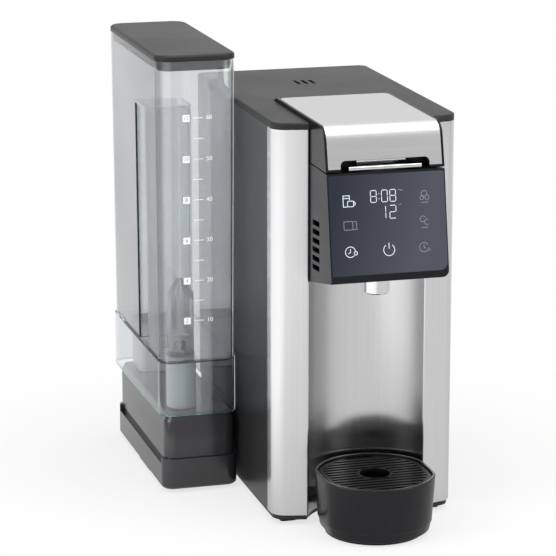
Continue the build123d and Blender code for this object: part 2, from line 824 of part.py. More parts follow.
def lid_handle():
    """Chrome bar across the notch, on two legs, and the bright strip behind it."""
    y0 = notch_front + 0.6
    z0 = lid_z0
    bar = block(-bar_w / 2, bar_w / 2, y0, y0 + bar_t, z0, z0 + bar_h)
    bar = fillet(bar.edges().filter_by(Axis.X), 1.2)
    y1 = notch_front + notch_d
    for side in (-1, 1):
        x0, x1 = sorted((side * bar_w / 2, side * (bar_w / 2 - 4)))
        bar += block(x0, x1, y0 + 1.4, y1, z0 + 0.2, z0 + bar_h - 0.2)
    strip = block(-strip_w / 2, strip_w / 2, y1 - 1.2, y1, z0 + 2.8, z0 + 6.0)
    return Compound([bar, strip])


def lid_liner():
    """Plate that closes the lid's hollow and carries the needle."""
    plate = block(-lid_half + wall, lid_half - wall, liner_y0, front_y + lid_thick_y - wall, lid_z0,
                  lid_z0 + liner_t)
    plate -= post(hot_port_x, hot_port_y, lid_z0, lid_z0 + liner_t, hose_bore)
    return plate - post(0, chamber_y, lid_z0, lid_z0 + liner_t, needle_r)


def lid_tube():
    """Water way inside the lid, from the port to the needle."""
    z0, z1 = lid_z0 + liner_t, lid_z0 + 14
    return hose([(hot_port_x, hot_port_y, z0), (hot_port_x, hot_port_y, z1), (0, chamber_y, z1),
                 (0, chamber_y, z0)], 6, hose_r - 0.5, hose_bore - 0.5)


def lid_catch():
    """Two tongues that click into the head's top."""
    tongues = []
    for side in (-1, 1):
        x = side * catch_x
        tongue = block(x - catch_w / 2, x + catch_w / 2, catch_y0, catch_y0 + catch_t, lid_z0 - catch_l, lid_z0)
        tongues.append(fillet(tongue.edges().group_by(Axis.Z)[0].filter_by(Axis.X), 0.8))
    return Compound(tongues)


def pierce_needle():
    """Needle that opens the pod's lid."""
    z = lid_z0
    needle = post(0, chamber_y, z - 2, z, 7) + post(0, chamber_y, z - 10, z + liner_t, needle_r)
    return needle + Pos(0, chamber_y, z - 12.5) * Cone(0.3, needle_r, 5)


def lid_gasket():
    """Soft ring that presses on the pod holder's rim."""
    return ring(0, chamber_y, lid_z0 - 2.6, lid_z0, 25.0, 21.0)


# Drip tray


def tray_face(r):
    """Circle of the tray, cut by its two flat sides."""
    flat = r - tray_r + tray_flat
    return Pos(0, brew_y) * (Circle(r) & Rectangle(2 * flat, 2 * r))


def tray_cone(r0, z0, r1, z1):
    """Tapering solid between two outlines of the tray."""
    return loft([Pos(0, 0, z0) * tray_face(r0), Pos(0, 0, z1) * tray_face(r1)])


def tray_body():
    """Round tray with two flat sides: foot, tapering wall, ledge for the grate and a deep well."""
    r0 = tray_foot_r + 0.6
    z_ring = tray_lift + tray_ring_h
    ledge_z = tray_h - grate_drop - grate_t
    foot = slab(tray_face(tray_foot_r), tray_lift, z_ring)
    foot = chamfer(foot.edges().group_by(Axis.Z)[0], 1.1)
    wall_solid = tray_cone(r0, z_ring, tray_r, tray_h)
    wall_solid -= slab(tray_face(tray_r - tray_rim), ledge_z, tray_h)
    wall_solid = fillet(wall_solid.edges().group_by(Axis.Z)[-1], 0.9)
    floor_r = r0 - 5.0
    well = tray_cone(floor_r, tray_floor_z, tray_r - tray_rim - 3.0, ledge_z)
    return foot + wall_solid - well


def tray_feet():
    """Rubber ring under the tray."""
    return ring(0, brew_y, 0, tray_lift, tray_r - 9, tray_r - 13)


def tray_grate():
    """Round grate with long slots and a drain hole at its middle."""
    z1 = tray_h - grate_drop
    disc = slab(tray_face(tray_r - tray_rim - 0.25), z1 - grate_t, z1)
    disc = fillet(disc.edges().group_by(Axis.Z)[-1], 1.0)
    disc -= post(0, brew_y, z1 - grate_t, z1, grate_hole_r)
    count = int(grate_field_r / slot_pitch)
    for k in range(-count, count + 1):
        v = (k + 0.5) * slot_pitch
        far = grate_field_r ** 2 - (abs(v) + slot_w / 2) ** 2
        if far < 100:
            continue
        length = math.sqrt(far)
        if abs(v) < grate_hub_r:
            hub = math.sqrt(grate_hub_r ** 2 - (abs(v) - slot_w / 2) ** 2)
            spans = [(hub, length), (-length, -hub)]
        else:
            spans = [(-length, length)]
        for x0, x1 in spans:
            slot = Pos((x0 + x1) / 2, brew_y + v) * SlotOverall(x1 - x0, slot_w)
            disc -= slab(slot, z1 - grate_t, z1)
    return disc


# Reservoir base and seat


def base_face(inset):
    """Plan outline of the reservoir base, drawn in by the inset."""
    return rounded(base_x0 + inset, base_x1 - inset, base_y0 + inset, base_y1 - inset,
                   base_corner_r - inset / 2)


def reservoir_base():
    """Lower tray of the tank's stand, with side grooves and the swivel lug."""
    solid = slab(base_face(0), base_z0, base_top)
    solid = chamfer(solid.edges().group_by(Axis.Z)[0], 1.5)
    solid -= slab(base_face(wall), base_z0 + wall, base_top - wall)
    solid -= slab(base_face(groove_d + wall + 1.0), base_top - wall, base_top)
    for x0, x1 in ((base_x0 - 1, base_x0 + groove_d), (base_x1 - groove_d, base_x1 + 1)):
        solid -= block(x0, x1, base_y0 + base_corner_r, base_y1 - base_corner_r, base_top - groove_h, base_top)
        xa, xb = (x0, x1 + wall) if x0 < base_x0 else (x0 - wall, x1)
        inside = block(max(xa, base_x0 + groove_d), min(xb, base_x1 - groove_d), base_y0 + base_corner_r - wall,
                       base_y1 - base_corner_r + wall, base_top - groove_h - wall, base_top)
        solid += inside
        solid += block(max(x0, base_x0), min(x1, base_x1), base_y0 + base_corner_r, base_y1 - base_corner_r,
                       base_top - groove_h - wall, base_top - groove_h)
    lug = rect(lug_x0, swivel_x, swivel_y - lug_r, swivel_y + lug_r)
    lug = slab(lug + Pos(swivel_x, swivel_y) * Circle(lug_r), lug_z0, lug_z1)
    solid += lug
    solid -= post(swivel_x, swivel_y, lug_z0, lug_z1, post_r + fit_gap)
    solid -= rod_x(lug_x0, swivel_x, swivel_y, lug_mid_z, hose_bore)
    for x, y in base_screw_places():
        solid -= post(x, y, base_z0, base_z0 + wall, screw_r + 0.2)
    return solid


lug_mid_z = (lug_z0 + lug_z1) / 2
lug_x0 = base_x1 - 4.0


def base_screw_places():
    """Four screws near the corners of the tank's stand."""
    return [(x, y) for x in (base_x0 + 11, base_x1 - 11) for y in (base_y0 + 14, base_y1 - 26)]


def base_screws():
    """Screws up through the base into the seat."""
    screws = []
    for x, y in base_screw_places():
        screws.append(post(x, y, base_z0, base_z0 + 14, screw_r) + post(x, y, base_z0 - 1.4, base_z0, 3.0))
    return Compound(screws)


def base_feet():
    """Rubber pads under the tank's stand."""
    y = (base_y0 + base_y1) / 2 - 6
    pads = []
    for x in (base_x0 + 6.5, base_x1 - 6.5):
        pads.append(slab(rounded(x - 4, x + 4, y - 21, y + 21, 3), 0, base_z0))
    for y in (base_y0 + 28, base_y1 - 28):
        x = (base_x0 + base_x1) / 2
        pads.append(slab(rounded(x - 14, x + 14, y - 4, y + 4, 3), 0, base_z0))
    return Compound(pads)


def reservoir_seat():
    """Upper tier with a bevelled shoulder, the valve's tower and the rear rest that carry the tank."""
    solid = slab(base_face(seat_inset), base_top, seat_top)
    solid = chamfer(solid.edges().group_by(Axis.Z)[-1], seat_bevel, 3.5)
    solid -= slab(base_face(seat_inset + wall), base_top, seat_top - seat_bevel - wall)
    shoulder = seat_top - seat_bevel - wall
    rest = slab(rounded(rest_x0, rest_x1, rest_y0, rest_y1, rest_corner_r), shoulder, hub_top)
    solid += fillet(rest.edges().group_by(Axis.Z)[-1], 2.0)
    solid -= slab(rounded(rest_x0 + wall, rest_x1 - wall, rest_y0 + wall, rest_y1 - wall, rest_corner_r - wall),
                  base_top, hub_top - wall)
    solid += post(valve_x, valve_y, shoulder, hub_top, tower_r)
    solid -= post(valve_x, valve_y, base_top, hub_top - wall, tower_r - wall)
    solid -= post(valve_x, valve_y, base_top, hub_top, socket_r)
    for x, y in base_screw_places():
        solid += post(x, y, base_z0 + wall, shoulder, 4.0)
        solid -= post(x, y, base_z0 + wall, base_z0 + 24, screw_r)
    return solid


socket_r = 8.0
pin_top_z = stem_z0 + 1.5


def inlet_socket():
    """Socket that takes the tank's valve stem, with the pin that opens it."""
    z0 = stem_z0 - 12
    body = post(valve_x, valve_y, stem_z0 - 4, hub_top, socket_r)
    body += post(valve_x, valve_y, hub_top - wall - 3, hub_top - wall, socket_r + 1.2)
    body += post(valve_x, valve_y, z0, stem_z0 - 4, hose_bore + 1.0)
    body -= post(valve_x, valve_y, stem_z0 - 2, hub_top, stem_r + fit_gap)
    body -= post(valve_x, valve_y, z0, stem_z0 - 2, hose_bore)
    cross = block(valve_x - hose_bore - 0.5, valve_x + hose_bore + 0.5, valve_y - 0.8, valve_y + 0.8,
                  stem_z0 - 6, stem_z0 - 3)
    return body + cross + post(valve_x, valve_y, stem_z0 - 5, pin_top_z, 1.2)


def inlet_seal():
    """Ring at the bottom of the socket."""
    return ring(valve_x, valve_y, stem_z0 - 2, stem_z0 - seat_gap, stem_r + fit_gap, hose_bore + 1.2)


def base_hose():
    """From the socket to the swivel, inside the tank's stand."""
    z = lug_mid_z
    y = swivel_y
    return hose([(valve_x, valve_y, stem_z0 - 12), (valve_x, valve_y, z), (valve_x, y, z),
                 (lug_x0, y, z)], 12, hose_r, hose_bore)


def pivot_post():
    """Hollow post that the stand swings round."""
    body = post(swivel_x, swivel_y, body_z0, post_z1, post_r)
    body -= post(swivel_x, swivel_y, body_z0 + 2, post_z1, hose_bore)
    return body - rod_x(swivel_x - post_r, swivel_x, swivel_y, lug_mid_z, hose_bore - 0.5)


def pivot_retainer():
    """Washer that holds the lug down on the post."""
    return ring(swivel_x, swivel_y, lug_z1 + 0.5, lug_z1 + 2.5, lug_r - 0.5, post_r)


def pivot_elbow():
    """Elbow from the post to the hole in the machine's back."""
    end = inner_back - 8
    outer = post(swivel_x, swivel_y, post_z1, elbow_z, hose_r) + rod_y(swivel_x, end, swivel_y, elbow_z, hose_r)
    outer += Pos(swivel_x, swivel_y, elbow_z) * Sphere(hose_r)
    inner = post(swivel_x, swivel_y, post_z1, elbow_z, hose_bore)
    return outer - inner - rod_y(swivel_x, end, swivel_y, elbow_z, hose_bore)


# Tank


def tank_face(inset):
    """Plan outline of the tank, drawn in by the inset."""
    return rounded(tank_x0 + inset, tank_x1 - inset, tank_y0 + inset, tank_y1 - inset,
                   tank_corner_r - inset * 0.8)


def tank_upper(inset, z0, z1):
    """The tapering upper part, as one solid."""
    low = ledge * (tank_top - z0) / (tank_top - floor_z)
    high = ledge * (tank_top - z1) / (tank_top - floor_z)
    return loft([Pos(0, 0, z0) * tank_face(inset + low), Pos(0, 0, z1) * tank_face(inset + high)])


def tank():
    """Clear tank: tapering walls, finger recess, raised floor and a skirt below it."""
    under = floor_z - floor_t
    outer = tank_upper(0, floor_z, tank_top)
    solid = outer - tank_upper(tank_wall, floor_z, tank_top)
    skirt = slab(tank_face(0), skirt_z, floor_z) - slab(tank_face(tank_wall), skirt_z, under)
    y0, y1 = tank_y0 + recess_y0, tank_y0 + recess_y1
    x1 = tank_x0 + recess_d
    walls = block(tank_x0, x1 + tank_wall, y0 - tank_wall, y1 + tank_wall, floor_z, recess_top + tank_wall)
    walls = fillet(walls.edges().filter_by(Axis.Z).sort_by(Axis.X)[-2:], 6.0)
    room = block(tank_x0 - 5, x1, y0, y1, floor_z, recess_top)
    room = fillet(room.edges().filter_by(Axis.Z).sort_by(Axis.X)[-2:], 4.0)
    solid = solid + skirt + (walls & outer) - room
    solid -= post(valve_x, valve_y, under, floor_z, stem_r)
    return solid


def valve_body():
    """Valve in the tank's floor, with the stem that enters the socket."""
    seat_z = floor_z + 3
    body = post(valve_x, valve_y, stem_z0, floor_z, stem_r) + post(valve_x, valve_y, floor_z, seat_z, filter_r)
    return body - post(valve_x, valve_y, stem_z0, seat_z, stem_r - 2.0)


def valve_plunger():
    """Plunger, held up by the socket's pin while the tank is seated."""
    seat_z = floor_z + 3
    head_z = seat_z + valve_drop + 0.2
    return post(valve_x, valve_y, pin_top_z + seat_gap, head_z, 1.6) \
        + post(valve_x, valve_y, head_z, head_z + 2.4, stem_r - 0.8) \
        + post(valve_x, valve_y, head_z + 2.4, head_z + 4.4, 1.4)


spring_z0 = floor_z + 3 + valve_drop + 0.2 + 2.4 + seat_gap
spring_z1 = spring_z0 + 8.0


def valve_spring():
    """Spring that closes the valve."""
    wire = 0.45
    r = 3.2
    path = Helix(pitch=(spring_z1 - spring_z0 - 2 * wire) / 4, height=spring_z1 - spring_z0 - 2 * wire, radius=r)
    start = Plane(origin=path @ 0, z_dir=path % 0)
    coil = sweep(start * Circle(wire), path=path, is_frenet=True)
    return Pos(valve_x, valve_y, spring_z0 + wire) * coil


def tank_filter():
    """Slotted filter over the valve, with a cone top."""
    z0 = floor_z + 3
    z1 = z0 + filter_h
    skin_t = 1.2
    cage = post(valve_x, valve_y, z0, z1, filter_r)
    cage += Pos(valve_x, valve_y, z1 + cone_h / 2) * Cone(filter_r, 3.0, cone_h)
    cage -= post(valve_x, valve_y, z0, z1, filter_r - skin_t)
    cage -= Pos(valve_x, valve_y, z1 + cone_h / 2 - skin_t) * Cone(filter_r - skin_t, 1.8, cone_h)
    cage += post(valve_x, valve_y, spring_z1, spring_z1 + 1.5, filter_r - skin_t / 2)
    for k in range(4):
        slot = block(2.0, filter_r + 1, -2.0, 2.0, spring_z1 + 5, z1 - 4)
        cage -= Pos(valve_x, valve_y, 0) * Rot(0, 0, 45 + 90 * k) * slot
        low = block(2.0, filter_r + 1, -2.0, 2.0, z0 + 1.5, spring_z1 - 1.5)
        cage -= Pos(valve_x, valve_y, 0) * Rot(0, 0, 90 * k) * (low - block(0, filter_r - skin_t - 0.5, -3, 3, 0, 300))
    return cage


def tank_lid():
    """Dark lid with a round top edge and a hollow inner rim."""
    cap = slab(tank_face(-lid_over), tank_top, tank_top + lid_cap_h)
    cap = fillet(cap.edges().group_by(Axis.Z)[-1], 2.4)
    cap -= slab(tank_face(lid_rim_inset + wall), tank_top, tank_top + lid_cap_h - wall)
    rim = tank_face(lid_rim_inset) - tank_face(lid_rim_inset + wall)
    return cap + slab(rim, tank_top - lid_rim_h, tank_top)


def tank_lid_seal():
    """Soft band round the lid's rim."""
    band = tank_face(lid_rim_inset - 0.9) - tank_face(lid_rim_inset)
    return slab(band, tank_top - lid_rim_h + 3, tank_top - lid_rim_h + 6)


MAKERS = [
    front_fascia, bay_frame, main_housing, base_plate, housing_screws, machine_feet, top_cover, hinge_pin,
    head_housing, control_glass, display_board, spout, spout_seal, brew_chamber, pod_holder,
    lower_needle, heater, heater_bracket, thermostat, thermal_fuse, water_pump, pump_mount,
    air_pump, air_pump_mount, control_board, cold_hose, pump_hose, hot_hose,
    air_hose, hose_clamps, port_seal, cord_gland, pivot_post, pivot_retainer, pivot_elbow,
    lid_shell, lid_plate, lid_handle, lid_liner, lid_tube, lid_catch, pierce_needle, lid_gasket,
    tray_body, tray_feet, tray_grate,
    reservoir_base, reservoir_seat, base_screws, base_feet, inlet_socket, inlet_seal, base_hose,
    tank, valve_body, valve_plunger, valve_spring, tank_filter, tank_lid, tank_lid_seal,
]

# The middle of the object's plan: tank lid to machine side, tray front to tank lid back
middle_x = (tank_x0 - lid_over + half_w) / 2
middle_y = (brew_y - tray_r + tank_y1 + lid_over) / 2

os.makedirs("parts", exist_ok=True)
for maker in MAKERS:
    export_step(Pos(-middle_x, -middle_y, 0) * maker(), f"parts/{maker.__name__}.step")
print(len(MAKERS), "nodes")
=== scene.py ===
import json
import logging
import math
from abc import ABC, abstractmethod
from contextlib import contextmanager
from dataclasses import dataclass
from enum import Enum
from typing import Iterable, Iterator, Sequence

import bmesh
import bpy
import numpy as np
from mathutils import Euler, Matrix, Vector

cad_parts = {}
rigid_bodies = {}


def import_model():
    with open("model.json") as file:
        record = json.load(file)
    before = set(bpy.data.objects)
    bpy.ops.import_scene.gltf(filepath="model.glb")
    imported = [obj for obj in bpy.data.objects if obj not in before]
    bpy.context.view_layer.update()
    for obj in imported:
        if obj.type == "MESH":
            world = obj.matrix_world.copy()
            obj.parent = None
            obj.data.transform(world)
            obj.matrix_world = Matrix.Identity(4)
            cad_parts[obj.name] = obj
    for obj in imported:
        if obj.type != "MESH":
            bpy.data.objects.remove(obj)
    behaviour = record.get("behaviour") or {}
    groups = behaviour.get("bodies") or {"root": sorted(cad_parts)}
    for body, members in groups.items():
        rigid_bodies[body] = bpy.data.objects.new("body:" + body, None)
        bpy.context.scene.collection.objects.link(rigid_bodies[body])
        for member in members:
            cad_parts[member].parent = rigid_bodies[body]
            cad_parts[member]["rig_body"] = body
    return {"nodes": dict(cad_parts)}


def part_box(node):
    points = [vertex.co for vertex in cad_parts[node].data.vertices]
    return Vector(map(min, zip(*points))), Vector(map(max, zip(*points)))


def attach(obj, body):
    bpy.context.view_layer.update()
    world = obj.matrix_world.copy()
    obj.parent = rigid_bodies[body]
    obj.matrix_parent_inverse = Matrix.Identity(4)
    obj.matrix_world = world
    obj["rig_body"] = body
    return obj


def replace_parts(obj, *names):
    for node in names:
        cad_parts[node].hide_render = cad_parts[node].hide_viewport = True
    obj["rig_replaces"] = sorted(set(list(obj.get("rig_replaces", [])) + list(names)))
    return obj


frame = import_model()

log = logging.getLogger("coffee_maker")
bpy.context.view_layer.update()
MM = 0.001
Row = Sequence[float]
Colour = tuple[float, float, float]
Solid = tuple[np.ndarray, np.ndarray]
Piece = bpy.types.Object
Material = bpy.types.Material
Tree = bpy.types.NodeTree
Node = bpy.types.Node
Socket = bpy.types.NodeSocket
Inputs = dict[str, object]
WHITE: Colour = (1.0, 1.0, 1.0)


class Axis(Enum):
    """The way a brushed grain runs on a piece."""

    X = (1.0, 0.0, 0.0)
    Z = (0.0, 0.0, 1.0)


class Edge(Enum):
    """Width of the round on a piece's edges, in metres."""

    CRISP = 0.0
    FINE = 0.1 * MM
    THIN = 0.12 * MM
    SMALL = 0.2 * MM
    NARROW = 0.25 * MM
    SOFT = 0.3 * MM
    ROUND = 0.4 * MM


# Shapes


def rounded_loop(corners: Sequence[Row], radii: Sequence[float], steps: int) -> np.ndarray:
    """Closed outline in a plane, each corner replaced by an arc that touches both its sides.

    The arc's centre lies on the corner's bisector, at the radius over the sine of half the inner angle. Its
    points are the first and last spokes, blended by the sines of the shares of the sweep.

    Args:
        corners: the corner points, in order.
        radii: one radius for each corner, or 0 where it stays sharp.
        steps: how many pieces each arc has.

    Returns:
        Points of the outline, one row each.
    """
    p = np.asarray(corners, float)
    r = np.maximum(np.asarray(radii, float), 1e-7)[:, None]
    back = np.roll(p, 1, 0) - p
    ahead = np.roll(p, -1, 0) - p
    back /= np.linalg.norm(back, axis=1, keepdims=True)
    ahead /= np.linalg.norm(ahead, axis=1, keepdims=True)
    half = 0.5 * np.arccos(np.clip((back * ahead).sum(1, keepdims=True), -1, 1))
    bisector = back + ahead
    bisector /= np.linalg.norm(bisector, axis=1, keepdims=True)
    centre = p + bisector * r / np.sin(half)
    first = p + back * r / np.tan(half) - centre
    last = p + ahead * r / np.tan(half) - centre
    sweep = (np.pi - 2 * half)[:, None, :]
    t = np.linspace(0, 1, steps + 1)[None, :, None]
    spokes = np.sin((1 - t) * sweep) * first[:, None] + np.sin(t * sweep) * last[:, None]
    return (centre[:, None] + spokes / np.sin(sweep)).reshape(-1, 2)


def rounded_box(x0: float, x1: float, y0: float, y1: float, radius: float, steps: int) -> np.ndarray:
    """Rectangle with four like corners, going round against the clock."""
    return rounded_loop([(x0, y0), (x1, y0), (x1, y1), (x0, y1)], [radius] * 4, steps)


def turned(profile: np.ndarray, steps: int) -> np.ndarray:
    """Surface of revolution about the upright axis.

    Point (i, j) lies at profile radius i and height i, turned by j shares of a full turn.

    Args:
        profile: radius and height pairs.
        steps: points round the axis.

    Returns:
        Grid of points, profile by steps by 3.
    """
    turn = np.linspace(0, 2 * np.pi, steps, endpoint=False)[None, :]
    r, z = profile[:, :1], profile[:, 1:]
    return np.stack([r * np.cos(turn), r * np.sin(turn), z + 0 * turn], axis=2)


def grid_faces(rows: int, cols: int, closed: bool = False) -> np.ndarray:
    """Quads of a grid of points: quad (i, j) joins point (i, j) to its next ones in both directions.

    Args:
        rows: how many rows the grid has.
        cols: how many columns it has.
        closed: whether the last row and column join the first ones.

    Returns:
        Four point numbers for each quad, row by row.
    """
    i, j = np.broadcast_arrays(np.arange(rows if closed else rows - 1)[:, None],
                               np.arange(cols if closed else cols - 1)[None, :])
    below, right = (i + 1) % rows, (j + 1) % cols
    quads = np.stack([i * cols + j, i * cols + right, below * cols + right, below * cols + j], axis=2)
    return quads.reshape(-1, 4)


def prism(loop: Sequence[Row], z0: float, z1: float) -> Solid:
    """Points and faces of a four-sided upright prism: its loop at both heights."""
    points = [(x, y, z) for z in (z0, z1) for x, y in loop]
    faces = [(3, 2, 1, 0), (4, 5, 6, 7), (0, 1, 5, 4), (1, 2, 6, 5), (2, 3, 7, 6), (3, 0, 4, 7)]
    return np.array(points), np.array(faces)


def joined(solids: Sequence[Solid]) -> Solid:
    """Points and faces of several solids as one set."""
    starts = np.cumsum([0] + [len(points) for points, _ in solids])
    return (np.concatenate([points for points, _ in solids]),
            np.concatenate([faces + start for (_, faces), start in zip(solids, starts)]))


def linked(name: str, data: bpy.types.ID) -> Piece:
    """New object in the scene that shows the data."""
    made = bpy.data.objects.new(name, data)
    bpy.context.scene.collection.objects.link(made)
    return made


def new_piece(name: str, points: np.ndarray, faces: Iterable[Sequence[int]]) -> Piece:
    """Mesh object at the origin, its doubles merged and its normals outwards.

    Args:
        name: the piece's name.
        points: the vertices, in any shape that ends in 3.
        faces: point numbers of each face.

    Returns:
        The new piece.
    """
    mesh = bpy.data.meshes.new(name)
    rows = np.asarray(points, float).reshape(-1, 3).tolist()
    mesh.from_pydata(rows, [], [list(map(int, face)) for face in faces])
    tidy(mesh)
    return linked(name, mesh)


@contextmanager
def edited(mesh: bpy.types.Mesh) -> Iterator[bmesh.types.BMesh]:
    """The mesh open for editing, written back at the end."""
    work = bmesh.new()
    work.from_mesh(mesh)
    yield work
    work.to_mesh(mesh)
    work.free()


def tidy(mesh: bpy.types.Mesh, recalc: bool = True) -> None:
    """Merges doubles, drops faces with no area and turns the faces outwards.

    Args:
        mesh: the mesh to change.
        recalc: whether the faces are turned.
    """
    with edited(mesh) as work:
        bmesh.ops.remove_doubles(work, verts=work.verts, dist=1e-6)
        bmesh.ops.dissolve_degenerate(work, edges=work.edges, dist=1e-7)
        if recalc:
            bmesh.ops.recalc_face_normals(work, faces=work.faces)


def merge_flats(mesh: bpy.types.Mesh) -> None:
    """Joins the triangles of each flat face."""
    with edited(mesh) as work:
        bmesh.ops.dissolve_limit(work, angle_limit=math.radians(1.0), verts=work.verts, edges=work.edges)


def smooth(piece: Piece, angle: float = 32.0) -> Piece:
    """Smooth shading, with the edges sharper than the angle in degrees kept crisp."""
    piece.data.polygons.foreach_set("use_smooth", [True] * len(piece.data.polygons))
    piece.data.set_sharp_from_angle(angle=math.radians(angle))
    return piece


def soften(piece: Piece, edge: Edge) -> Piece:
    """Small round on every crisp edge, so that edges catch the light.

    Args:
        piece: the piece to round.
        edge: how wide the round is.

    Returns:
        The piece.
    """
    bevel = piece.modifiers.new("edge_round", "BEVEL")
    bevel.width = edge.value
    bevel.segments = 2
    bevel.limit_method = "ANGLE"
    bevel.angle_limit = math.radians(35)
    bevel.use_clamp_overlap = True
    bevel.harden_normals = True
    return piece


def lay_grain_map(piece: Piece, u: np.ndarray, v: np.ndarray) -> None:
    """UV map in metres that tells the brushed finish where its gloss spreads.

    Args:
        piece: the piece to map.
        u: each vertex's place across the grain.
        v: each vertex's place along it.
    """
    mesh = piece.data
    corner = np.empty(len(mesh.loops), int)
    mesh.loops.foreach_get("vertex_index", corner)
    layer = mesh.uv_layers.new(name="grain_map")
    layer.data.foreach_set("uv", np.stack([u[corner], v[corner]], axis=1).ravel())


def points_of(piece: Piece) -> np.ndarray:
    """The mesh's vertices, one row each."""
    flat = np.empty(3 * len(piece.data.vertices))
    piece.data.vertices.foreach_get("co", flat)
    return flat.reshape(-1, 3)


def middle_of(node: str) -> np.ndarray:
    """Middle of a CAD node's box in x and y, at height 0."""
    low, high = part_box(node)
    return np.array([(low.x + high.x) / 2, (low.y + high.y) / 2, 0.0])


def mount(piece: Piece, node: str) -> Piece:
    """The piece stands for a CAD node and rides on its body."""
    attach(piece, frame["nodes"][node]["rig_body"])
    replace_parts(piece, node)
    return piece


def copy_of(node: str, name: str, edge: Edge = Edge.CRISP) -> Piece:
    """A merged, smooth copy of a CAD node that stands for it, with its edges rounded.

    Args:
        node: the CAD node.
        name: the new piece's name.
        edge: how wide the edges' round is.

    Returns:
        The new piece, riding on the node's body.
    """
    mesh = frame["nodes"][node].data.copy()
    mesh.materials.clear()
    tidy(mesh, recalc=False)
    if edge is not Edge.CRISP:
        merge_flats(mesh)
    if "custom_normal" in mesh.attributes:
        mesh.attributes.remove(mesh.attributes["custom_normal"])
    piece = smooth(linked(name, mesh))
    if edge is not Edge.CRISP:
        soften(piece, edge)
    return mount(piece, node)


def wear(piece: Piece, material: Material) -> Piece:
    """Gives the whole piece one material, and its node's slot where it stands for a node."""
    piece.data.materials.clear()
    piece.data.materials.append(material)
    return piece


def dressed(rows: Iterable[tuple]) -> list[Piece]:
    """Copies of CAD nodes in their finishes, from rows of node, new name, material and the edge, if any."""
    return [wear(copy_of(node, name, *edge), material) for node, name, material, *edge in rows]


# Node groups and finishes


class Graph:
    """A node tree with short calls that add, fill and join nodes."""

    def __init__(self, tree: Tree) -> None:
        """Starts on an emptied tree."""
        self.tree = tree
        tree.nodes.clear()

    def add(self, kind: str, **values: object) -> Node:
        """Adds a node of a kind, named without its ShaderNode prefix, and fills it."""
        made = self.tree.nodes.new(kind if kind.startswith("Node") else "ShaderNode" + kind)
        return self.fill(made, **values)

    def fill(self, node: Node, **values: object) -> Node:
        """Sets a node's attributes and inputs.

        Args:
            node: the node to fill.
            values: an attribute's name, an input's name with underscores for its spaces, or an underscore
                and an input's number, each with its value; a socket as a value is linked.

        Returns:
            The node.
        """
        for key, value in values.items():
            if hasattr(node, key):
                setattr(node, key, value)
                continue
            target = node.inputs[int(key[1:])] if key[1:].isdigit() else node.inputs[key.replace("_", " ")]
            if isinstance(value, Socket):
                self.tree.links.new(value, target)
            else:
                target.default_value = (*value, 1.0) if target.type == "RGBA" else value
        return node

    def maths(self, operation: str, *values: object, clamp: bool = False) -> Socket:
        """Result of a Math node on numbers or sockets."""
        inputs = {f"_{place}": value for place, value in enumerate(values)}
        return self.add("Math", operation=operation, use_clamp=clamp, **inputs).outputs[0]

    def ramp(self, value: Socket, start: float, end: float, low: float = 0.0, high: float = 1.0) -> Socket:
        """The value carried from start and end to low and high, and held there."""
        made = self.add("MapRange", Value=value, From_Min=start, From_Max=end, To_Min=low, To_Max=high)
        return made.outputs[0]

    def mix(self, share: Socket, first: object, second: object) -> Socket:
        """The first number passing into the second by a share."""
        return self.add("Mix", data_type="FLOAT", Factor=share, _2=first, _3=second).outputs[0]

    def mix_colour(self, share: Socket, first: object, second: object) -> Socket:
        """The first colour passing into the second by a share."""
        return self.add("Mix", data_type="RGBA", Factor=share, _6=first, _7=second).outputs[2]

    def axes(self, place: Socket) -> bpy.types.bpy_prop_collection:
        """The place's X, Y and Z."""
        return self.add("SeparateXYZ", Vector=place).outputs

    def seen(self) -> Socket:
        """Whether a ray comes from the camera, straight or through clear plastic."""
        path = self.add("LightPath").outputs
        return self.maths("MAXIMUM", path["Is Camera Ray"], path["Is Transmission Ray"])

    def blend(self, share: Socket, first: Socket, second: Socket) -> Socket:
        """The first shader passing into the second by a share."""
        return self.add("MixShader", Fac=share, _1=first, _2=second).outputs[0]


def new_group(name: str, second: str, kind: str, outputs: Sequence[str]) -> tuple:
    """Empty shader node group that takes a place and one more input.

    Args:
        name: the group's name.
        second: the other input's name.
        kind: the other input's kind, Float or Vector.
        outputs: names of the value outputs.

    Returns:
        The group's graph, its two inputs and its output node.
    """
    g = Graph(bpy.data.node_groups.new(name, "ShaderNodeTree"))
    sockets = [("Vector", "INPUT", "Vector"), (second, "INPUT", kind)]
    for socket, way, type_name in sockets + [(output, "OUTPUT", "Float") for output in outputs]:
        g.tree.interface.new_socket(name=socket, in_out=way, socket_type="NodeSocket" + type_name)
    source = g.add("NodeGroupInput")
    return g, source.outputs[0], source.outputs[1], g.add("NodeGroupOutput")


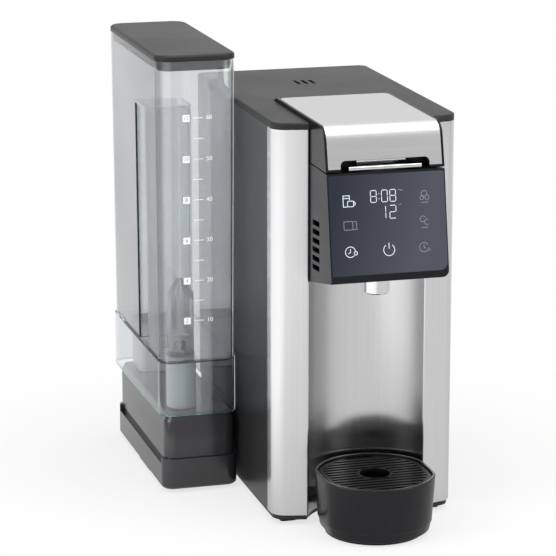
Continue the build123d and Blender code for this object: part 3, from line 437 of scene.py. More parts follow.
class Patterns:
    """The node groups that more than one finish uses."""

    def __init__(self) -> None:
        """Builds each group once."""
        self.grain = self.build_grain()
        self.streaks = self.build_streaks()
        self.smudges = self.build_smudges()

    @staticmethod
    def build_grain() -> Tree:
        """Moulded grain: fine noise over coarser cells, as a height and a tone."""
        g, place, scale, sink = new_group("moulded_grain", "Scale", "Float", ["Height", "Tone"])
        fine = g.add("TexNoise", Vector=place, Scale=scale, Detail=3.0).outputs["Fac"]
        cells = g.add("TexVoronoi", Vector=place, Scale=scale).outputs["Distance"]
        coarse = g.add("TexNoise", Vector=place, Scale=14.0, Detail=2.0).outputs["Fac"]
        g.fill(sink, Height=g.maths("MULTIPLY", fine, cells), Tone=g.ramp(coarse, 0.0, 1.0, 0.92, 1.08))
        return g.tree

    @staticmethod
    def build_streaks() -> Tree:
        """Brushed grain: noise drawn out along one axis, in a fine and a broad layer."""
        g, place, stretch, sink = new_group("brushed_streaks", "Stretch", "Vector", ["Height", "Tone"])
        drawn = g.add("VectorMath", operation="MULTIPLY", _0=place, _1=stretch).outputs[0]
        fine = g.add("TexNoise", Vector=drawn, Scale=1.0, Detail=6.0, Roughness=0.7).outputs["Fac"]
        broad = g.add("TexNoise", Vector=drawn, Scale=0.13, Detail=3.0).outputs["Fac"]
        total = g.maths("MULTIPLY_ADD", broad, 0.4, g.maths("MULTIPLY", fine, 0.6))
        g.fill(sink, Height=fine, Tone=total)
        return g.tree

    @staticmethod
    def build_smudges() -> Tree:
        """Faint handling marks: large soft noise from 0 to 1."""
        g, place, scale, sink = new_group("handling_smudges", "Scale", "Float", ["Mask"])
        soft = g.add("TexNoise", Vector=place, Scale=scale, Detail=4.0).outputs["Fac"]
        g.fill(sink, Mask=g.ramp(soft, 0.35, 0.75))
        return g.tree


PATTERNS = Patterns()


@dataclass(frozen=True)
class Finish(ABC):
    """A material on one Principled shader, from Object coordinates."""

    name: str
    colour: Colour

    def build(self) -> Material:
        """Makes the material."""
        material = bpy.data.materials.new(self.name)
        material.use_nodes = True
        g = Graph(material.node_tree)
        place = g.add("TexCoord").outputs["Object"]
        shader = g.add("BsdfPrincipled", **self.inputs(g, place)).outputs[0]
        g.add("OutputMaterial", Surface=self.surface(g, shader))
        return material

    @abstractmethod
    def inputs(self, g: Graph, place: Socket) -> Inputs:
        """The shader's inputs by name, with underscores for spaces."""

    def surface(self, g: Graph, shader: Socket) -> Socket:
        """What the material shows: here the shader itself."""
        return shader

    def toned(self, g: Graph, tone: Socket) -> Socket:
        """The colour made lighter and darker by a tone that varies about 1."""
        return g.add("VectorMath", operation="SCALE", _0=self.colour, Scale=tone).outputs[0]

    def marked(self, g: Graph, place: Socket, scale: float, rise: float, base: float | Socket) -> Socket:
        """Roughness that rises from its base where the handling marks lie.

        Args:
            g: the material's graph.
            place: its Object coordinates.
            scale: how close the marks lie.
            rise: how much a full mark adds.
            base: the roughness between the marks.

        Returns:
            The roughness.
        """
        marks = g.add("Group", node_tree=PATTERNS.smudges, Vector=place, Scale=scale)
        return g.maths("MULTIPLY_ADD", marks.outputs["Mask"], rise, base)


@dataclass(frozen=True)
class BrushedSteel(Finish):
    """Steel with a fine grain along one axis, darkened by painted shade at the flanks of a bay where it has
    one.
    """

    grain: Axis
    roughness: float = 0.2
    rough_vary: float = 0.03
    spread: float = 0.95
    across: float = 2600.0
    along: float = 12.0
    depth: float = 0.000004
    painted_shade_span: tuple[float, float] | None = None
    middle_tone: float = 0.95
    flank_fall: float = -0.33
    flank_rim: float = 0.5 * MM

    def inputs(self, g: Graph, place: Socket) -> Inputs:
        """Streaks drawn out along the grain give the tone, the roughness and the bump."""
        stretch = [self.along if part else self.across for part in self.grain.value]
        streaks = g.add("Group", node_tree=PATTERNS.streaks, Vector=place, Stretch=stretch).outputs
        tone = g.ramp(streaks["Tone"], 0.3, 0.7, 0.94, 1.04)
        rough = g.ramp(streaks["Tone"], 0.3, 0.7, self.roughness - self.rough_vary,
                       self.roughness + self.rough_vary)
        bump = g.add("Bump", Strength=0.25, Distance=self.depth, Height=streaks["Height"])
        tangent = g.add("Tangent", direction_type="UV_MAP", uv_map="grain_map")
        return {
            "Base_Color": self.toned(g, self.shade(g, place, tone) if self.painted_shade_span else tone),
            "Roughness": self.marked(g, place, 9.0, 0.02, rough), "Normal": bump.outputs[0],
            "Metallic": 1.0, "Anisotropic": self.spread, "Tangent": tangent.outputs[0],
        }

    def shade(self, g: Graph, place: Socket, tone: Socket) -> Socket:
        """Tone darkened by painted shade towards the bay's flanks, by the square of the distance from its
        middle.
        """
        x0, x1 = self.painted_shade_span
        x = g.axes(place)["X"]
        square = g.maths("POWER", g.ramp(x, x0, x1, -1.0, 1.0), 2.0)
        fall = g.maths("MULTIPLY_ADD", square, self.flank_fall, self.middle_tone)
        inside = g.maths("MULTIPLY", g.ramp(x, x0, x0 + self.flank_rim), g.ramp(x, x1, x1 - self.flank_rim))
        return g.maths("MULTIPLY", tone, g.mix(inside, 1.0, fall))


@dataclass(frozen=True)
class Plastic(Finish):
    """Moulded plastic with a fine grain and faint smudges, and another colour above a height if given."""

    roughness: float = 0.42
    grain_scale: float = 900.0
    grain_depth: float = 0.00003
    specular: float = 0.3
    ior: float = 1.5
    coat: float = 0.0
    high_colour: Colour | None = None
    high_z: float = 0.0
    high_rim: float = 0.5 * MM

    def inputs(self, g: Graph, place: Socket) -> Inputs:
        """The moulded grain gives the tone and the bump."""
        grain = g.add("Group", node_tree=PATTERNS.grain, Vector=place, Scale=self.grain_scale).outputs
        colour = self.toned(g, grain["Tone"])
        if self.high_colour:
            above = g.ramp(g.axes(place)["Z"], self.high_z, self.high_z + self.high_rim)
            colour = g.mix_colour(above, colour, self.high_colour)
        bump = g.add("Bump", Strength=0.4, Distance=self.grain_depth, Height=grain["Height"])
        return {
            "Base_Color": colour, "Roughness": self.marked(g, place, 16.0, 0.06, self.roughness - 0.03),
            "Normal": bump.outputs[0], "Specular_IOR_Level": self.specular, "IOR": self.ior,
            "Coat_Weight": self.coat, "Coat_Roughness": 0.08,
        }


@dataclass(frozen=True)
class PaintedSheenPanel(Finish):
    """Dark glass with a painted reflection: its colour grows lighter from its upper left to its lower right.
    """

    # Colour of the painted reflection at the lower right
    light: Colour
    roughness: float = 0.06
    start: float = -0.12
    rightwards: float = 1.25
    downwards: float = 0.25

    def inputs(self, g: Graph, place: Socket) -> Inputs:
        """The shares of the way across and down the panel, weighed and added, mix the dark tint into the
        painted reflection.
        """
        low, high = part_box("control_glass")
        parts = g.axes(place)
        across = g.maths("MULTIPLY_ADD", g.ramp(parts["X"], low.x, high.x), self.rightwards, self.start)
        down = g.ramp(parts["Z"], high.z, low.z)
        share = g.maths("MULTIPLY_ADD", down, self.downwards, across, clamp=True)
        return {"Base_Color": g.mix_colour(share, self.colour, self.light),
                "Roughness": self.marked(g, place, 30.0, 0.03, self.roughness)}


@dataclass(frozen=True)
class Metal(Finish):
    """Plain or polished metal with faint marks."""

    roughness: float

    def inputs(self, g: Graph, place: Socket) -> Inputs:
        """The moulded grain gives the tone."""
        grain = g.add("Group", node_tree=PATTERNS.grain, Vector=place, Scale=1500.0)
        return {"Base_Color": self.toned(g, grain.outputs["Tone"]), "Metallic": 1.0,
                "Roughness": self.marked(g, place, 60.0, 0.06, self.roughness)}


@dataclass(frozen=True)
class Clear(Finish):
    """Thin clear plastic that hardly bends light, gets its gloss from a coat and lets shadow rays through."""

    roughness: float = 0.02
    ior: float = 1.08
    clearness: float = 0.98
    edge: Colour = (0.3, 0.55, 0.53)
    foot: tuple[float, float] = (1.6 * MM, 0.4 * MM)
    left_wall: tuple[float, float] = (6 * MM, 3 * MM)
    left_share: float = 0.58
    left_coat: float = 0.35
    coat_ior: float = 1.8
    skirt: tuple[float, float] = (0.1108, 0.1128)

    def inputs(self, g: Graph, place: Socket) -> Inputs:
        """The foot has the tint of a thick edge, and the left wall above the skirt is darker."""
        grain = g.add("Group", node_tree=PATTERNS.grain, Vector=place, Scale=40.0)
        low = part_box("tank")[0]
        parts = g.axes(place)
        at_foot = g.ramp(parts["Z"], *[low.z + rise for rise in self.foot])
        at_left = g.ramp(parts["X"], *[low.x + inset for inset in self.left_wall])
        # The left wall above the skirt is made darker
        left_darkening = g.maths("MULTIPLY", at_left, g.ramp(parts["Z"], *self.skirt))
        tone = g.maths("MULTIPLY", grain.outputs["Tone"], g.ramp(left_darkening, 0.0, 1.0, 1.0, self.left_share))
        return {
            "Base_Color": g.mix_colour(at_foot, self.toned(g, tone), self.edge),
            "Roughness": self.marked(g, place, 30.0, 0.02, self.roughness), "IOR": self.ior,
            "Transmission_Weight": self.clearness, "Coat_Roughness": 0.03, "Coat_IOR": self.coat_ior,
            "Coat_Weight": g.ramp(at_left, 0.0, 1.0, 1.0, self.left_coat),
        }

    def surface(self, g: Graph, shader: Socket) -> Socket:
        """The shader, and a plain tint for shadow and diffuse rays."""
        path = g.add("LightPath").outputs
        either = g.maths("MAXIMUM", path["Is Shadow Ray"], path["Is Diffuse Ray"])
        return g.blend(either, shader, g.add("BsdfTransparent", Color=self.colour).outputs[0])


@dataclass(frozen=True)
class Lit(Finish):
    """Light symbols that glow a little, and print whose faint glow is painted light."""

    glow: float

    def inputs(self, g: Graph, place: Socket) -> Inputs:
        """The colour and the glow share one faint tone."""
        marks = g.add("Group", node_tree=PATTERNS.smudges, Vector=place, Scale=300.0)
        colour = self.toned(g, g.ramp(marks.outputs["Mask"], 0.0, 1.0, 0.9, 1.05))
        return {"Base_Color": colour, "Emission_Color": colour, "Emission_Strength": self.glow,
                "Roughness": 0.5}


# The bay's flanks are darkened by painted shade
STEEL_UP = BrushedSteel("steel_brushed_upright", (0.78, 0.78, 0.79), Axis.Z,
                        painted_shade_span=(-0.0137, 0.0819)).build()
STEEL_LID = BrushedSteel("steel_brushed_lid", (0.76, 0.755, 0.76), Axis.X, roughness=0.22,
                         spread=0.75).build()
HOUSING = Plastic("housing_satin_black", (0.022, 0.022, 0.023), roughness=0.32, specular=0.36).build()
COVER = Plastic("cover_fine_grain", (0.026, 0.026, 0.026), grain_scale=1300.0, specular=0.22).build()
LID_BLACK = Plastic("lid_satin_black", (0.01, 0.01, 0.012), roughness=0.25, specular=0.14).build()
HEAD_GREY = Plastic("head_satin_grey", (0.013, 0.013, 0.016), roughness=0.28, specular=0.13).build()
STAND_BLACK = Plastic("stand_satin_black", (0.022, 0.022, 0.026), roughness=0.18, specular=0.8).build()
SEAT_BLACK = Plastic("seat_satin_black", (0.022, 0.022, 0.026), roughness=0.18, specular=0.8,
                     high_colour=(0.42, 0.46, 0.48), high_z=0.0668).build()
TRAY_BLACK = Plastic("tray_satin_black", (0.008, 0.008, 0.01), roughness=0.25).build()
GRATE_BLACK = Plastic("grate_satin_black", (0.006, 0.006, 0.006), roughness=0.3, specular=0.2,
                      ior=1.2).build()
TANK_LID = Plastic("tank_lid_grain", (0.024, 0.024, 0.026), roughness=0.4, grain_scale=1100.0,
                   specular=0.2).build()
INNER = Plastic("inner_moulding", (0.12, 0.12, 0.125), roughness=0.5).build()
BOARD = Plastic("circuit_lacquer", (0.02, 0.11, 0.05), roughness=0.35, coat=0.4).build()
RUBBER = Plastic("rubber_matt", (0.02, 0.02, 0.02), roughness=0.75, grain_depth=0.00006).build()
SILICONE = Plastic("silicone_milky", (0.62, 0.62, 0.6), roughness=0.5).build()
CHROME = Metal("chrome_polished", (0.8, 0.8, 0.81), roughness=0.05).build()
PLAIN_STEEL = Metal("steel_plain", (0.55, 0.55, 0.56), roughness=0.24).build()
CAST_METAL = Metal("heater_cast_metal", (0.6, 0.6, 0.61), roughness=0.4).build()
# The panel's lighter lower right is a painted reflection
PANEL = PaintedSheenPanel("panel_glass_painted_sheen", (0.011, 0.016, 0.031), (0.06, 0.066, 0.088)).build()
TANK_CLEAR = Clear("tank_clear_smoke", (0.82, 0.84, 0.85)).build()
FILTER_CLEAR = Clear("filter_clear", (0.75, 0.77, 0.78), roughness=0.05, clearness=0.9).build()
SEAL_SMOKE = Plastic("seal_smoke_silicone", (0.02, 0.025, 0.04), roughness=0.16).build()
SYMBOL = Lit("symbol_light", (0.56, 0.6, 0.68), glow=0.75).build()
SYMBOL_DIM = Lit("symbol_dim", (0.2, 0.21, 0.25), glow=0.35).build()
# The print is no lamp: its glow is painted light
PRINT = Lit("scale_print", (0.85, 0.86, 0.86), glow=0.45).build()
PRINT_GREY = Lit("scale_print_grey", (0.18, 0.19, 0.2), glow=0.05).build()


# The machine


@dataclass
class Machine:
    """Housing, steel front, cover and base of the machine's body."""

    depth: float = 0.240
    bow: float = 0.0115
    front_corner: float = 0.012
    bay_half: float = 0.0478
    bay_edge: float = 0.0015
    bay_steps: int = 40
    edge_steps: int = 8
    spout_reach: float = 0.0305
    wrap: float = 0.017
    sheet: float = 0.001
    fold_angle: float = 40.0
    head_z0: float = 0.199
    plug_set: float = 0.004 * MM
    plug_length: float = 1.8 * MM
    plug_lap: float = 1.0 * MM

    def __post_init__(self) -> None:
        """Takes the places from the frame."""
        low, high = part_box("main_housing")
        self.mid = (low.x + high.x) / 2
        self.half = (high.x - low.x) / 2
        self.z0, self.z1 = low.z, high.z
        self.front = high.y - self.depth
        self.brew = self.front - self.spout_reach
        self.bow_r = (self.half ** 2 + self.bow ** 2) / (2 * self.bow)
        self.bow_y = self.front - self.bow + self.bow_r

    def half_path(self) -> np.ndarray:
        """Plan of the steel from the bay's middle to the end of its wrap, at x from 0 up.

        Four arcs and a line: the bay about the brew axis, the small round at the wing's edge, the bow and the
        front corner, each meeting the next at a shared tangent. The edge round's centre lies at the bow's
        radius less its own from the bow's centre, and at the bay's radius plus its own from the brew axis.

        Returns:
            Points of the plan, one row each.
        """
        bow_at_bay = self.bow_y - math.sqrt(self.bow_r ** 2 - self.bay_half ** 2)
        bay_r = math.hypot(self.bay_half, bow_at_bay - self.brew)
        inner, outer = self.bow_r - self.bay_edge, bay_r + self.bay_edge
        gap = self.bow_y - self.brew
        down = (outer ** 2 - inner ** 2 + gap ** 2) / (2 * gap)
        edge = np.array([math.sqrt(outer ** 2 - down ** 2), self.brew + down])
        corner_x = self.half - self.front_corner
        corner_y = self.bow_y - math.sqrt((self.bow_r - self.front_corner) ** 2 - corner_x ** 2)
        corner = np.array([corner_x, corner_y])
        brew, bow = np.array([0, self.brew]), np.array([0, self.bow_y])

        def swing(centre: np.ndarray, radius: float, a: float, b: float, steps: int) -> np.ndarray:
            """Arc about a centre from angle a to angle b."""
            t = np.linspace(a, b, steps)[:, None]
            return centre + radius * np.concatenate([np.cos(t), np.sin(t)], axis=1)

        to_edge = math.atan2(*(edge - brew)[::-1])
        bow_edge = math.atan2(*(edge - bow)[::-1])
        bow_corner = math.atan2(*(corner - bow)[::-1])
        return np.concatenate([
            swing(brew, bay_r, math.pi / 2, to_edge, self.bay_steps),
            swing(edge, self.bay_edge, to_edge + math.pi, bow_edge + 2 * math.pi, self.edge_steps),
            swing(bow, self.bow_r, bow_edge, bow_corner, 16),
            swing(corner, self.front_corner, bow_corner, 0, 14),
            np.array([[self.half, self.front + self.wrap]]),
        ])

    def steel_front(self) -> Piece:
        """One folded sheet: the bay's round back, both wings and their wraps, open above the bay."""
        right = self.half_path()
        left = right[::-1] * [-1, 1]
        path = np.concatenate([left[:-1], right]) + [self.mid, 0]
        heights = np.array([self.z0, self.head_z0, self.z1])
        grid = np.stack([np.concatenate([path, np.full((len(path), 1), z)], axis=1) for z in heights])
        faces = grid_faces(3, len(path))
        count = len(path)
        column = faces[:, 0] % count
        upper = faces[:, 0] >= count
        # The bay ends half way round its edge
        in_bay = np.abs(column + 0.5 - count // 2) < self.bay_steps + self.edge_steps // 2
        piece = new_piece("steel_front", grid, faces[~(upper & in_bay)])
        side = max(piece.data.polygons, key=lambda face: face.center.x)
        if side.normal.x < 0:
            piece.data.flip_normals()
        p = points_of(piece)
        x = p[:, 0] - self.mid
        wrap = np.where(np.abs(x) > self.half - MM, np.maximum(p[:, 1] - self.front, 0), 0)
        lay_grain_map(piece, x + np.sign(x) * wrap, p[:, 2])
        smooth(piece, self.fold_angle)
        solid = piece.modifiers.new("sheet", "SOLIDIFY")
        solid.thickness = self.sheet
        solid.offset = -1
        soften(piece, Edge.SMALL)
        return wear(mount(piece, "front_fascia"), STEEL_UP)

    def rim_plugs(self) -> Piece:
        """Plugs that fill the pin's bore where it would show in the cover's rim, just inside its face."""
        low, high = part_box("top_cover")
        pin_low, pin_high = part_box("hinge_pin")
        y0, y1 = pin_low.y - self.plug_lap, pin_high.y + self.plug_lap
        spans = [(low.x + self.plug_set, low.x + self.plug_length),
                 (high.x - self.plug_length, high.x - self.plug_set)]
        solids = [prism([(x0, y0), (x1, y0), (x1, y1), (x0, y1)], self.z1, pin_high.z + self.plug_lap)
                  for x0, x1 in spans]
        piece = wear(soften(smooth(new_piece("rim_plugs", *joined(solids))), Edge.NARROW), COVER)
        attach(piece, "machine")
        return piece

    def build(self) -> list[Piece]:
        """Makes and dresses the body's pieces."""
        return [self.steel_front(), *dressed([
            ("bay_frame", "front_frame", HOUSING),
            ("main_housing", "side_housing", HOUSING, Edge.SOFT),
            ("top_cover", "cap_cover", COVER, Edge.NARROW),
        ]), self.rim_plugs(), *dressed([
            ("base_plate", "floor_plate", HOUSING, Edge.SOFT),
            ("machine_feet", "machine_pads", RUBBER, Edge.ROUND),
            ("housing_screws", "floor_screws", PLAIN_STEEL, Edge.FINE),
            ("cord_gland", "lead_bush", RUBBER, Edge.SOFT),
            ("hinge_pin", "lid_pin", PLAIN_STEEL, Edge.FINE),
        ])]


# The head and its panel


class Stroke:
    """Flat symbols drawn in millimetres with strokes of one width."""

    def __init__(self, width: float) -> None:
        """Starts with no strokes."""
        self.width = width
        self.points: list[np.ndarray] = []
        self.faces: list[np.ndarray] = []
        self.count = 0

    def ribbon(self, path: Sequence[Row], closed: bool = False) -> "Stroke":
        """Adds a ribbon: each point is pushed half a width to both sides along its mitred normal.

        Args:
            path: the ribbon's middle line.
            closed: whether its end joins its start.

        Returns:
            The strokes.
        """
        p = np.asarray(path, float)
        ahead = np.roll(p, -1, 0) - p
        if not closed:
            ahead[-1] = ahead[-2]
        ahead /= np.linalg.norm(ahead, axis=1, keepdims=True)
        behind = np.roll(ahead, 1, 0)
        if not closed:
            behind[0] = ahead[0]
        both = ahead + behind
        mitre = np.stack([-both[:, 1], both[:, 0]], axis=1)
        mitre /= np.maximum((mitre ** 2).sum(1, keepdims=True) / 2, 0.5)
        side = mitre * self.width / 2
        n = len(p)
        i = np.arange(n if closed else n - 1)
        j = (i + 1) % n
        self.points.append(np.stack([p - side, p + side], axis=1).reshape(-1, 2))
        self.faces.append(np.stack([2 * i, 2 * j, 2 * j + 1, 2 * i + 1], axis=1) + self.count)
        self.count += 2 * n
        return self

    def arc(self, x: float, y: float, r: float, a0: float = 0.0, a1: float = 360.0) -> "Stroke":
        """Adds an arc of a circle, from angle a0 to a1 in degrees."""
        closed = abs(a1 - a0) >= 360
        t = np.radians(np.linspace(a0, a1, 33))
        ring = np.stack([x + r * np.cos(t), y + r * np.sin(t)], axis=1)
        return self.ribbon(ring[:-1] if closed else ring, closed)

    def digit(self, value: int, x: float, y: float, w: float, h: float) -> "Stroke":
        """Adds a seven-segment digit with its lower left corner at (x, y)."""
        gap = self.width * 0.75
        segments = {
            "a": ((gap, h), (w - gap, h)), "b": ((w, h - gap), (w, h / 2 + gap)),
            "c": ((w, h / 2 - gap), (w, gap)), "d": ((gap, 0), (w - gap, 0)),
            "e": ((0, gap), (0, h / 2 - gap)), "f": ((0, h / 2 + gap), (0, h - gap)),
            "g": ((gap, h / 2), (w - gap, h / 2)),
        }
        for letter in {0: "abcdef", 1: "bc", 2: "abged", 8: "abcdefg"}[value]:
            self.ribbon([(x + across, y + up) for across, up in segments[letter]])
        return self

    def piece(self, name: str, plane: Matrix, thickness: float) -> Piece:
        """Raises the strokes to a thin solid on a plane.

        Args:
            name: the piece's name.
            plane: places the drawing, in metres, in the frame.
            thickness: how far the strokes stand up, in metres.

        Returns:
            The new piece.
        """
        n = self.count
        low = np.concatenate([np.concatenate(self.points) * MM, np.zeros((n, 1))], axis=1)
        points = np.concatenate([low, low + [0, 0, thickness]])
        placed = points @ np.array(plane.to_3x3()).T + np.array(plane.translation)
        quads = np.concatenate(self.faces)
        sides = []
        for block in self.faces:
            a, b, c, d = block.T
            sides += [np.stack([a, b, b + n, a + n], axis=1), np.stack([c, d, d + n, c + n], axis=1)]
            if block[-1, 1] != block[0, 0]:
                first, last = block[0], block[-1]
                sides.append(np.array([[first[3], first[0], first[0] + n, first[3] + n],
                                       [last[1], last[2], last[2] + n, last[1] + n]]))
        return new_piece(name, placed, np.concatenate([quads[:, ::-1], quads + n] + sides))


@dataclass
class Head:
    """Forward head: housing, tinted glass, symbols, spout and brew group."""

    lean: float = 10.1
    glass_height: float = 0.0765
    symbol_shift: float = -1.0 * MM
    stroke: float = 0.5
    thin_stroke: float = 0.45
    spout_share: float = 0.91
    spout_rise: float = 1.6 * MM
    pane_lift: float = 0.05 * MM
    proud: float = 0.16 * MM

    def glass_plane(self) -> Matrix:
        """Place of the glass's outer face: x to the right, y up the lean, z out of the glass."""
        low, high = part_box("control_glass")
        across, up = math.sin(math.radians(self.lean)), math.cos(math.radians(self.lean))
        middle = Vector((middle_of("control_glass")[0] + self.symbol_shift,
                         low.y + self.glass_height / 2 * across, high.z - self.glass_height / 2 * up))
        return Matrix.Translation(middle) @ Matrix(((1, 0, 0), (0, across, -up), (0, up, across))).to_4x4()

    def symbols(self) -> list[Piece]:
        """Clock digits and plain symbols, with no words."""
        bright, dim = Stroke(self.stroke), Stroke(self.thin_stroke)
        # Clock reading 8:08 and a 12 under it
        bright.digit(8, -12.4, 16.8, 4.6, 9.0).digit(0, -3.6, 16.8, 4.6, 9.0).digit(8, 3.0, 16.8, 4.6, 9.0)
        bright.digit(1, -3.8, 4.0, 3.0, 9.8).digit(2, 2.4, 4.0, 5.0, 9.8)
        bright.ribbon([(-5.7, 19.0), (-5.7, 19.7)]).ribbon([(-5.7, 22.8), (-5.7, 23.5)])
        # Power
        bright.arc(0.6, -19.9, 4.4, 125, 415).ribbon([(0.6, -19.0), (0.6, -14.6)])
        # Pack and cup
        bright.ribbon([(-31.0, 14.6), (-34.2, 14.6), (-34.2, 23.0), (-29.2, 23.0), (-29.2, 19.6)])
        bright.ribbon([(-34.2, 21.0), (-29.2, 21.0)])
        bright.ribbon(rounded_box(-30.8, -26.0, 14.6, 18.8, 0.6, 3), True).arc(-26.0, 16.8, 1.3, -90, 90)
        # Timer with a small wheel
        bright.arc(-30.2, -19.8, 4.0, 10, 318).ribbon([(-30.2, -17.4), (-30.2, -20.0), (-31.9, -21.0)])
        bright.arc(-26.0, -20.9, 1.3)
        # Carafe
        dim.ribbon(rounded_box(-34.4, -27.4, -3.0, 3.4, 0.6, 3), True)
        dim.ribbon([(-27.4, 3.2), (-24.6, 3.2), (-24.2, -2.8), (-27.4, -2.8)])
        # Marks beside the clock and the 12
        dim.ribbon([(10.0, 25.8), (11.4, 25.0), (13.6, 25.0)]).ribbon([(9.6, 14.2), (12.0, 14.2)])
        # Cups over ice, beans and a second timer, in the right column
        dim.arc(30.4, 21.4, 2.2).arc(32.6, 18.4, 1.7).arc(28.4, 18.2, 1.4)
        dim.ribbon([(27.6, 14.6), (33.8, 14.6)])
        dim.arc(28.6, 2.0, 2.2, 20, 340).arc(31.8, -0.4, 2.0, 60, 300).ribbon([(27.4, -4.6), (32.6, -4.6)])
        dim.arc(28.6, -19.6, 3.6, 30, 320).ribbon([(28.6, -17.4), (28.6, -19.8), (30.2, -20.6)])
        dim.ribbon([(31.4, -22.8), (32.6, -20.2), (33.8, -22.8)])
        pieces = []
        for strokes, name, finish in ((bright, "symbols_bright", SYMBOL), (dim, "symbols_dim", SYMBOL_DIM)):
            piece = strokes.piece(name, self.glass_plane(), self.proud)
            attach(piece, "machine")
            pieces.append(wear(piece, finish))
        return pieces

    def pane(self) -> Piece:
        """Glass, set a hair ahead of the housing's face."""
        piece = copy_of("control_glass", "panel_pane")
        piece.data.transform(Matrix.Translation(self.glass_plane().to_3x3().col[2] * self.pane_lift))
        return wear(piece, PANEL)

    def outlet(self) -> Piece:
        """Spout, drawn in to the photographed width and shortened at its mouth."""
        piece = copy_of("spout", "coffee_spout", Edge.SMALL)
        low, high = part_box("spout")
        middle = middle_of("spout")[:2]
        points = points_of(piece)
        points[:, :2] = middle + (points[:, :2] - middle) * self.spout_share
        points[:, 2] += np.where(points[:, 2] < (low.z + high.z) / 2, self.spout_rise, 0.0)
        piece.data.vertices.foreach_set("co", points.ravel())
        piece.data.update()
        return wear(piece, CHROME)

    def build(self) -> list[Piece]:
        """Makes and dresses the head's pieces."""
        return [*dressed([("head_housing", "head_shell", HEAD_GREY)]), self.pane(), *dressed([
            ("display_board", "panel_board", BOARD),
        ]), self.outlet(), *dressed([
            ("spout_seal", "spout_ring", SILICONE),
            ("brew_chamber", "brew_cup", INNER, Edge.SMALL),
            ("pod_holder", "pod_cup", HOUSING, Edge.SOFT),
            ("lower_needle", "low_needle", PLAIN_STEEL),
        ]), *self.symbols()]


class Lid:
    """Hinged lid with its steel plate, chrome bar and needle."""

    def build(self) -> list[Piece]:
        """Makes and dresses the lid's pieces."""
        pieces = dressed([
            ("lid_plate", "lid_steel", STEEL_LID, Edge.THIN),
            ("lid_shell", "lid_frame", LID_BLACK, Edge.NARROW),
            ("lid_handle", "lid_bar", CHROME, Edge.SMALL),
            ("lid_liner", "lid_underside", HOUSING, Edge.SMALL),
            ("lid_tube", "lid_hose", SILICONE),
            ("lid_catch", "lid_tongues", LID_BLACK, Edge.SMALL),
            ("pierce_needle", "lid_needle", PLAIN_STEEL),
            ("lid_gasket", "lid_ring", SILICONE, Edge.SMALL),
        ])
        p = points_of(pieces[0])
        lay_grain_map(pieces[0], p[:, 1] - p[:, 2], p[:, 0])
        return pieces


